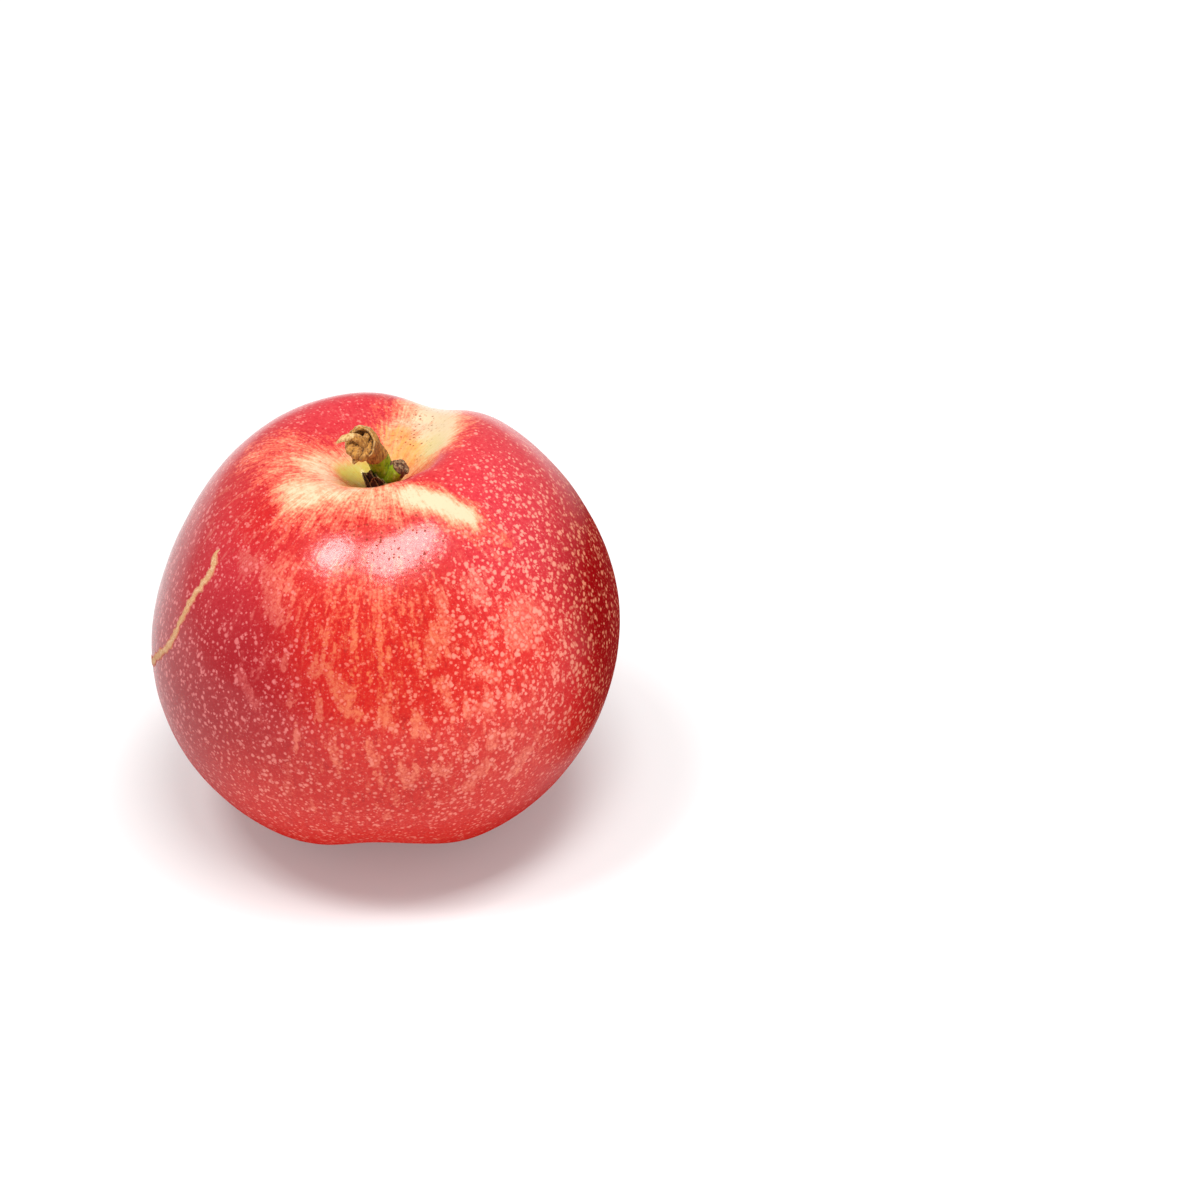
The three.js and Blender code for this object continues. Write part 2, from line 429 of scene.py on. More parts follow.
@dataclass(frozen=True)
class Streaks:
    """Noise or dashes drawn out along the meridians: sizes round the fruit and along it, in mm."""

    across: float
    along: float
    detail: float = 0.0
    amount: float = 1.0

    @property
    def steps(self) -> Point:
        """Features a mm: two across the streaks and then along them."""
        return (1 / self.across, 1 / self.across, 1 / self.along)


class SkinGraph(Graph):
    """The skin's nodes, with the patterns that its layers share."""

    def __init__(self, skin: "Skin") -> None:
        """Adds the place in mm, the painted regions and the noises.

        Args:
            skin: The finish that the sizes of the patterns come from.
        """
        super().__init__(bpy.data.materials.new("nectarine_skin_waxy"), "ShaderNodeOutputMaterial")
        add = self.add
        self.place = self.millimetres()
        self.masks = {m: add("Attribute", out="Fac", attribute_name=m.value) for m in Mask}
        self.grain = add("Attribute", out="Vector", attribute_name=GRAIN)
        patchy = {"Vector": self.place, "Scale": 1 / skin.patch, "Detail": 5.0, "Roughness": 0.62}
        self.patchy = add("TexNoise", patchy)
        grit = {"Vector": self.place, "Scale": 1 / skin.grit, "Detail": 3.0, "Roughness": 0.6}
        self.grit = add("TexNoise", grit)
        self.warp = add("TexNoise", {"Vector": self.place, "Scale": 1 / skin.warp, "Detail": 3.0}, out=1)
        self.fine, self.broad, self.hair = (self.streaks(sizes) for sizes in skin.streaks)
        ragged = add("Math", {0: self.patchy, 1: self.fine}, operation="ADD")
        ragged = {0: ragged, 1: 0.9, 2: self.masks[Mask.BLOTCH]}
        ragged = add("Math", ragged, operation=MULTIPLY_ADD)
        self.blotch = add("MapRange", {0: ragged, LOW: 1.36, HIGH: 1.7}, interpolation_type=SMOOTH)
        # The deep red, partly painted shade, holds fewer markings.
        solid = {0: self.masks[Mask.DEEP_RED_AND_PAINTED_SHADE], LOW: 0.3, HIGH: 1.0, TO_LOW: 1.0, TO_HIGH: 0.15}
        self.open = add("MapRange", solid)

    def along_grain(self, sizes: Streaks, bend: float) -> Socket:
        """Coordinates for a pattern that is drawn out along the meridians.

        Args:
            sizes: Sizes of the pattern's features.
            bend: How far the features are bent, in features.

        Returns:
            The coordinates, in features.
        """
        drawn = self.add("VectorMath", {0: self.grain, 1: sizes.steps}, operation="MULTIPLY")
        bent = self.add("VectorMath", {0: self.warp, "Scale": bend}, operation="SCALE")
        return self.add("VectorMath", {0: drawn, 1: bent}, operation="ADD")

    def streaks(self, sizes: Streaks) -> Socket:
        """Noise in streaks along the meridians, each bent by 0.8 mm."""
        place = self.along_grain(sizes, 0.8 / sizes.across)
        return self.add("TexNoise", {"Vector": place, "Scale": 1.0, "Detail": sizes.detail, "Roughness": 0.6})

    def dashes(self, sizes: Streaks) -> Socket:
        """Ragged dashes along the meridians, most where the streak mask is strong: 1 inside and 0 outside."""
        add = self.add
        cells = add("TexVoronoi", {"Vector": self.along_grain(sizes, 0.9), "Scale": 1.0})
        chance = add("SeparateColor", {0: cells.node.outputs["Color"]})
        present = {0: self.masks[Mask.STREAKS], 1: 0.55, 2: chance}
        present = add("Math", present, operation=MULTIPLY_ADD)
        present = add("MapRange", {0: present, LOW: 1.0, HIGH: 1.4}, interpolation_type=SMOOTH)
        inside = add("MapRange", {0: cells, LOW: 0.55, HIGH: 0.25}, interpolation_type=SMOOTH)
        return add("Math", {0: present, 1: inside}, operation="MULTIPLY")


@dataclass(frozen=True)
class Skin:
    """Nectarine skin: a smooth cuticle with a thin wax bloom over a thin coloured layer.

    The red blush lies in fine streaks along the meridians over a cream ground colour, and the pores
    (lenticels) show as small corky dots, so the eye sees a satin gloss over a freckled, streaked red.
    Sizes of patterns are in mm, and heights of relief too.
    """

    blush: str = "#C2170F"
    tones: tuple[tuple[Mask, str], ...] = (
        (Mask.CRIMSON, "#980614"),
        (Mask.ROSE, "#D2323E"),
        (Mask.VIVID, "#C21004"),
        # Deeper red, partly painted shade down the right side.
        (Mask.DEEP_RED_AND_PAINTED_SHADE, "#8C0004"),
        # Brighter coral, partly painted light on the lower front.
        (Mask.CORAL_AND_PAINTED_LIGHT, "#DC2A20"),
    )
    dark: str = "#98080C"
    pale: str = "#D6683E"
    pale_pink: str = "#E28078"
    pale_dim: str = "#C04C4C"
    pale_coral: str = "#F68268"
    fringe: tuple[tuple[float, float, str], ...] = (
        (0.12, 0.45, "#E2604A"),
        (0.36, 0.72, "#EA9C76"),
        (0.62, 1.05, "#E3C6A2"),
    )
    green: str = "#B7AE3E"
    orange: str = "#F09C48"
    dot: str = "#E07C64"
    dot_tones: tuple[tuple[Mask, str], ...] = (
        (Mask.ROSE, "#F0A08E"),
        (Mask.CRIMSON, "#DE7A78"),
        (Mask.CORAL_AND_PAINTED_LIGHT, "#FC9684"),
        (Mask.DEEP_RED_AND_PAINTED_SHADE, "#DE8868"),
    )
    speck: str = "#84382A"
    patch: float = 2.381
    grit: float = 0.4762
    warp: float = 0.7143
    streaks: tuple[Streaks, ...] = (
        Streaks(0.7407, 3.125, detail=5.0),
        Streaks(2.0, 10.0, detail=3.0),
        Streaks(0.3125, 2.0, detail=2.0),
    )
    dashes: tuple[Streaks, ...] = (Streaks(1.5, 4.4, amount=1.0), Streaks(0.9, 2.8, amount=0.8))
    fine_dots: Dots = Dots(0.46, 0.18, 0.24, 0.4)
    dots: Dots = Dots(0.84, 0.27, 0.24, 0.95)
    rare_dots: Dots = Dots(1.7, -0.5, 0.82, 0.9)
    dot_bend: float = 0.5
    cluster: float = 0.9091
    speck_cell: float = 0.6
    peel: float = 0.7692
    peel_height: float = 0.022
    grit_height: float = 0.004
    coat: float = 1.0
    thin_coat: float = 0.03
    rubbed_below: float = 42.0

    def _thinness(self, graph: SkinGraph) -> Socket:
        """How thin the blush is: thinnest in patches, streaks, dashes and blotches, all of them grainy."""
        add = graph.add
        thin = add("MapRange", {0: graph.patchy, LOW: 0.5, HIGH: 0.8, TO_HIGH: 0.4})
        streak = add("MapRange", {0: graph.fine, LOW: 0.5, HIGH: 0.78, TO_HIGH: 0.35})
        thin = add("Math", {0: streak, 1: graph.masks[Mask.STREAKS], 2: thin}, operation=MULTIPLY_ADD)
        for dash in self.dashes:
            inside = {0: graph.dashes(dash), 1: dash.amount, 2: thin}
            thin = add("Math", inside, operation=MULTIPLY_ADD)
        thin = add("Math", {0: graph.blotch, 1: 0.8, 2: thin}, operation=MULTIPLY_ADD)
        grain = add("MapRange", {0: graph.grit, LOW: 0.32, HIGH: 0.68, TO_LOW: 0.5, TO_HIGH: 1.25})
        speckled = add("MapRange", {0: graph.grit, LOW: 0.48, HIGH: 0.75, TO_HIGH: 0.46})
        thin = add("Math", {0: thin, 1: grain, 2: speckled}, operation=MULTIPLY_ADD)
        return add("Math", {0: thin, 1: graph.open}, operation="MULTIPLY")

    def _bareness(self, graph: SkinGraph) -> Socket:
        """How bare the ground colour lies; noise frays its edge into a fringe of fine streaks."""
        add = graph.add
        bare = graph.masks[Mask.GROUND]
        near = add("MapRange", {0: bare, HIGH: 0.2})
        streaks = ((graph.fine, 0.8), (graph.broad, 0.7), (graph.hair, 0.3))
        for source, amount in (*streaks, (graph.patchy, 0.9), (graph.grit, 0.8)):
            shift = add("Math", {0: source, 1: amount, 2: -0.5 * amount}, operation=MULTIPLY_ADD)
            bare = add("Math", {0: shift, 1: near, 2: bare}, operation=MULTIPLY_ADD)
        return bare

    def _ground(self, graph: SkinGraph, bare: Socket, colour: Socket) -> Socket:
        """Lays the ground colour where the blush thins out, with its orange and green tints."""
        for low, high, tone in self.fringe:
            colour = graph.lay(colour, bare, low, high, tone)
        for mask, tone, source, amount, low, high in (
            (Mask.ORANGE, self.orange, graph.fine, 2.0, 1.3, 2.1),
            (Mask.GREEN, self.green, graph.hair, 0.6, 0.4, 1.2),
        ):
            tinted = {0: source, 1: amount, 2: graph.masks[mask]}
            tinted = graph.add("Math", tinted, operation=MULTIPLY_ADD)
            colour = graph.lay(colour, tinted, low, high, tone, 0.85)
        return colour

    def _lenticels(self, graph: SkinGraph, bare: Socket, base: Socket, colour: Socket) -> Socket:
        """Lays the corky dots over the skin, each in a slightly darker ring, with some in clusters.

        Args:
            graph: The skin's nodes.
            bare: How bare the ground colour lies, where the dots fade out.
            base: The blush without its markings, which is the rings' colour.
            colour: The colour below.

        Returns:
            The colour with the dots on it.
        """
        add, lay, mask = graph.add, graph.lay, graph.masks[Mask.DOTS]
        bent = add("VectorMath", {0: graph.warp, "Scale": self.dot_bend}, operation="SCALE")
        bent = add("VectorMath", {0: graph.place, 1: bent}, operation="ADD")
        hidden = add("MapRange", {0: bare, LOW: 0.75, HIGH: 0.35}, interpolation_type=SMOOTH)
        crowd = add("MapRange", {0: graph.patchy, LOW: 0.35, HIGH: 0.65, TO_LOW: 0.75, TO_HIGH: 1.4})
        fine = add("Math", {0: mask, 1: 0.35, 2: 0.65}, operation=MULTIPLY_ADD)
        fine = add("Math", {0: graph.blotch, 1: 0.5, 2: fine}, operation=MULTIPLY_ADD)
        large = add("Math", {0: mask, 1: 0.84, 2: 0.34}, operation=MULTIPLY_ADD)
        large = add("Math", {0: large, 1: crowd}, operation="MULTIPLY")
        bold = add("Math", {0: mask, 1: 0.5, 2: 0.4}, operation=MULTIPLY_ADD)
        bold = add("Math", {0: bold, 1: hidden}, operation="MULTIPLY")
        dot_tone = linear(self.dot)
        for region, tone in self.dot_tones:
            dot_tone = lay(dot_tone, graph.masks[region], 0.0, 0.8, tone)
        for dots, size in ((self.fine_dots, fine), (self.dots, large), (self.rare_dots, large)):
            dot, ring = dots.nodes(graph, bent, size)
            colour = lay(colour, ring, 0.0, 1.0, base, 0.5 * dots.amount, bold)
            colour = lay(colour, dot, 0.0, 1.0, dot_tone, dots.amount, bold)
        run = {"Vector": graph.place, "Scale": 1 / self.cluster, "Detail": 2.0, "Roughness": 0.6}
        run = add("Math", {0: mask, 1: 0.14, 2: add("TexNoise", run)}, operation=MULTIPLY_ADD)
        few = add("Math", {0: bold, 1: graph.open}, operation="MULTIPLY")
        return lay(colour, run, 0.70, 0.79, dot_tone, 0.75, few)

    def _pits(self, graph: SkinGraph) -> Socket:
        """Pin specks of russet in some cells, where the skin has a tiny pit: 1 inside and 0 outside."""
        add = graph.add
        distance = add("TexVoronoi", {"Vector": graph.place, "Scale": 1.0 / self.speck_cell})
        chance = add("SeparateColor", {0: distance.node.outputs["Color"]})
        apart = add("Math", {0: chance, 1: 0.26, 2: distance}, operation=MULTIPLY_ADD)
        pit = add("MapRange", {0: apart, LOW: 0.40, HIGH: 0.24}, interpolation_type=SMOOTH)
        return add("Math", {0: pit, 1: graph.masks[Mask.SPECKS]}, operation="MULTIPLY")

    def _bloom(self, graph: SkinGraph, pits: Socket) -> Socket:
        """Weight of the waxy coat: thin where the skin was rubbed or lies low, and none in the pits."""
        add = graph.add
        low = add("SeparateXYZ", {0: graph.place}, out=2)
        rubbed = add("MapRange", {0: low, LOW: self.rubbed_below, HIGH: 0.0})
        # The coat is thin too on the deep red, which is partly painted shade.
        for mask in (Mask.DEEP_RED_AND_PAINTED_SHADE, Mask.RUBBED):
            rubbed = add("Math", {0: rubbed, 1: graph.masks[mask]}, operation="MAXIMUM")
        coat = add("MapRange", {0: rubbed, LOW: 0.1, HIGH: 0.8, TO_LOW: self.coat, TO_HIGH: self.thin_coat})
        return add("Math", {0: coat, 1: pits}, operation="SUBTRACT", use_clamp=True)

    def _relief(self, graph: SkinGraph) -> Socket:
        """The normal of a fine orange peel with finer grit on it."""
        add = graph.add
        peel = add("TexNoise", {"Vector": graph.place, "Scale": 1 / self.peel, "Detail": 1.4})
        height = add("Math", {0: peel, 1: self.peel_height}, operation="MULTIPLY")
        height = add("Math", {0: graph.grit, 1: self.grit_height, 2: height}, operation=MULTIPLY_ADD)
        return add("Bump", {"Height": height, "Distance": MM, "Strength": 1.0})

    def build(self) -> bpy.types.Material:
        """Makes the material."""
        graph = SkinGraph(self)
        lay, masks = graph.lay, graph.masks
        # Broad regions of tone, a little darker in fine threads.
        base = linear(self.blush)
        for mask, tone in self.tones:
            base = lay(base, masks[mask], 0.0, 1.0, tone)
        colour = lay(base, graph.fine, 0.48, 0.30, self.dark, 0.5, masks[Mask.STREAKS])
        colour = lay(colour, graph.grit, 0.47, 0.30, self.dark, 0.35)
        # Where the blush is thin it pales to orange-pink.
        pale = lay(linear(self.pale), masks[Mask.ROSE], 0.0, 1.0, self.pale_pink)
        pale = lay(pale, masks[Mask.CRIMSON], 0.0, 1.0, self.pale_dim)
        pale = lay(pale, masks[Mask.CORAL_AND_PAINTED_LIGHT], 0.0, 0.8, self.pale_coral)
        colour = lay(colour, self._thinness(graph), 0.0, 1.3, pale)
        bare = self._bareness(graph)
        colour = self._ground(graph, bare, colour)
        colour = self._lenticels(graph, bare, base, colour)
        pits = self._pits(graph)
        colour = lay(colour, pits, 0.0, 1.0, self.speck, 0.8)
        normal = self._relief(graph)
        surface = {
            "Base Color": colour,
            "Roughness": 0.5,
            "IOR": 1.45,
            "Specular IOR Level": 0.0,
            "Coat Weight": self._bloom(graph, pits),
            "Coat Roughness": 0.2,
            "Coat IOR": 1.43,
            "Normal": normal,
            "Coat Normal": normal,
        }
        return graph.finish(graph.add("BsdfPrincipled", surface))


@dataclass(frozen=True)
class Cork:
    """Healed scar cork: dead, cracked tissue that grew over a rub mark, so it is matt, tan and flaky."""

    tan: str = "#CE9C6C"
    pale: str = "#E4BE98"
    brown: str = "#A86A3C"
    healed: str = "#B8483C"
    flake: float = 0.8333
    crack: float = 0.3846
    relief: float = 0.08

    def build(self) -> bpy.types.Material:
        """Makes the material."""
        graph = Graph.material("scar_cork_healed")
        add, place = graph.add, graph.millimetres()
        flake = {"Vector": place, "Scale": 1 / self.flake, "Detail": 5.0, "Roughness": 0.75}
        flake = add("TexNoise", flake)
        crack = add("TexVoronoi", {"Vector": place, "Scale": 1 / self.crack}, feature="DISTANCE_TO_EDGE")
        edge = add("Attribute", out="Fac", attribute_name=EDGE)
        colour = linear(self.tan)
        for source, low, high, tone, amount in (
            (flake, 0.48, 0.66, self.pale, 0.8),
            (flake, 0.44, 0.30, self.brown, 0.5),
            (crack, 0.10, 0.02, self.brown, 0.6),
            (edge, 0.3, 0.95, self.healed, 0.9),
        ):
            colour = graph.lay(colour, source, low, high, tone, amount)
        normal = add("Bump", {"Height": flake, "Distance": self.relief * MM, "Strength": 1.0})
        surface = {"Base Color": colour, "Roughness": 0.75, "IOR": 1.45, "Normal": normal}
        return graph.finish(add("BsdfPrincipled", surface))


class Tissue(Enum):
    """Kinds of dried stem tissue, and the painted shade in the crook, stored on the mesh under these names.
    """

    BARK = "bark"
    TORN = "torn"
    FIBRE = "fibre"
    SCAR = "scar"
    # Painted shade: near-black in the crook where the side shoot leaves the stalk.
    DARK = "dark"


# The stalk's colour puts painted shade in the folds and painted light on the ridges by this attribute.
HOLLOW = "hollow"  # attribute: 0.5 on flat ground, more in folds and less on ridges


@dataclass(frozen=True)
class StalkFinish:
    """Fruit stalk: a green living shoot that was torn off, and has dried brown at its broken ends.

    The live part is satin green with faint ridges and painted shade in its folds; the torn wood is matt and
    fibrous, tan with painted light on its ridges and painted shade in its folds.
    """

    green: str = "#8EA612"
    green_dark: str = "#4C6410"
    green_pale: str = "#C6C466"
    tissues: tuple[tuple[Tissue, str, str], ...] = (
        (Tissue.BARK, "#CEAC6A", "#6E522E"),
        (Tissue.TORN, "#C68A3A", "#824E1A"),
        (Tissue.FIBRE, "#E2BC80", "#AE7A3A"),
        (Tissue.SCAR, "#8A5E3C", "#3C2214"),
        # Painted shade: near-black in the crook where the side shoot leaves the stalk.
        (Tissue.DARK, "#33200F", "#1E120A"),
    )
    # Painted light on the dried wood's ridges and painted shade in its folds.
    ridge: str = "#E8CE98"
    fold: str = "#3A2110"
    mottle: float = 0.7143
    fibre: Streaks = Streaks(0.25, 1.1111)
    relief: float = 0.12

    def build(self) -> bpy.types.Material:
        """Makes the material."""
        graph = Graph.material("stalk_green_bark_torn")
        add, lay, place = graph.add, graph.lay, graph.millimetres()
        hollow = add("Attribute", out="Fac", attribute_name=HOLLOW)
        mottle = {"Vector": place, "Scale": 1 / self.mottle, "Detail": 4.0, "Roughness": 0.65}
        mottle = add("TexNoise", mottle)
        drawn = add("VectorMath", {0: place, 1: self.fibre.steps}, operation="MULTIPLY")
        fibres = add("TexNoise", {"Vector": drawn, "Scale": 1.0, "Detail": 3.0})
        colour = linear(self.green)
        for source, low, high, tone, amount in (
            (mottle, 0.50, 0.34, self.green_dark, 0.8),
            (fibres, 0.54, 0.74, self.green_pale, 0.6),
            # painted shade: the green darkens in folds
            (hollow, 0.54, 0.70, self.green_dark, 0.8),
        ):
            colour = lay(colour, source, low, high, tone, amount)
        # The dried tissues and the painted shade in the crook lie over the green with ragged edges, each
        # lighter along its fibres.
        dry_from, dry_to = 0.7, 0.95
        driest = 0.0
        shade = add("MapRange", {0: fibres, LOW: 0.35, HIGH: 0.65})
        for tissue, light, dark in self.tissues:
            share = add("Attribute", out="Fac", attribute_name=tissue.value)
            ragged = add("Math", {0: mottle, 1: 0.7, 2: share}, operation=MULTIPLY_ADD)
            tone = {0: shade, UNDER: linear(dark), OVER: linear(light)}
            tone = add("Mix", tone, out=2, data_type="RGBA")
            colour = lay(colour, ragged, dry_from, dry_to, tone)
            driest = add("Math", {0: driest, 1: ragged}, operation="MAXIMUM")
        dry = add("MapRange", {0: driest, LOW: dry_from, HIGH: dry_to}, interpolation_type=SMOOTH)
        # Painted light on the dried ridges and painted shade in the dried folds.
        for low, high, tone, amount in ((0.46, 0.26, self.ridge, 0.3), (0.51, 0.68, self.fold, 0.9)):
            colour = lay(colour, hollow, low, high, tone, amount, dry)
        height = add("Math", {0: fibres, 1: mottle}, operation="ADD")
        normal = add("Bump", {"Height": height, "Distance": self.relief * MM, "Strength": 0.8})
        dull = add("MapRange", {0: dry, TO_LOW: 0.42, TO_HIGH: 0.8})
        surface = {"Base Color": colour, "Roughness": dull, "IOR": 1.45, "Normal": normal}
        return graph.finish(add("BsdfPrincipled", surface))


@dataclass(frozen=True)
class ScaleFinish:
    """Dry bud scales: small dead leaves left from the bud, papery, ribbed and almost black-brown."""

    brown: str = "#2E1A10"
    warm: str = "#5A3620"
    # Paler towards each scale's sides and tip.
    pale_rim: str = "#B09058"
    mottle: float = 0.5
    relief: float = 0.15

    def build(self) -> bpy.types.Material:
        """Makes the material."""
        graph = Graph.material("bud_scale_dry")
        add, place = graph.add, graph.millimetres()
        mottle = {"Vector": place, "Scale": 1 / self.mottle, "Detail": 5.0, "Roughness": 0.65}
        mottle = add("TexNoise", mottle)
        edge = add("Attribute", out="Fac", attribute_name=EDGE)
        # Paler towards each scale's sides and tip, with a ragged border.
        pale_rim = add("Math", {0: mottle, 1: 0.5, 2: edge}, operation=MULTIPLY_ADD)
        colour = graph.lay(linear(self.brown), mottle, 0.48, 0.68, self.warm, 0.9)
        colour = graph.lay(colour, pale_rim, 1.02, 1.25, self.pale_rim, 0.85)
        normal = add("Bump", {"Height": mottle, "Distance": self.relief * MM, "Strength": 1.0})
        surface = {"Base Color": colour, "Roughness": 0.6, "IOR": 1.45, "Normal": normal}
        return graph.finish(add("BsdfPrincipled", surface))


@dataclass(frozen=True)
class FloorPaint:
    """Matt white paint on the studio's floor: rolled, so it is even, with a grain too fine to see."""

    white: str = "#D6D5D5"
    glow: float = 0.28

    def build(self) -> bpy.types.Material:
        """Makes the material."""
        graph = Graph.material("floor_matt_paint")
        white = linear(self.white)
        lit = {"Base Color": white, "Roughness": 0.9}
        lit |= {"Emission Color": white, "Emission Strength": self.glow}
        return graph.finish(graph.add("BsdfPrincipled", lit))


# ---------------------------------------------------------------- the fruit


@dataclass(frozen=True)
class Zone:
    """A broad region of the skin: direction from the fruit's middle and spread, in degrees."""

    azimuth: float
    elevation: float
    spread: float
    strength: float = 1.0

    def cover(self, points: Floats, middle: Floats) -> Floats:
        """How much the zone covers each point, from 0 to its strength."""
        return self.strength * bell(angle_from(points, middle, self.azimuth, self.elevation), self.spread)


@dataclass(frozen=True)
class Stroke:
    """A marking along a line of places on the skin, in mm, with its half-width."""

    width: float
    strength: float
    line: tuple[Point, ...]

    def cover(self, points: Floats, middle: Floats) -> Floats:
        """How much the stroke covers each point, from 0 to its strength."""
        return self.strength * bell(distance_to_line(points, self.line), self.width)


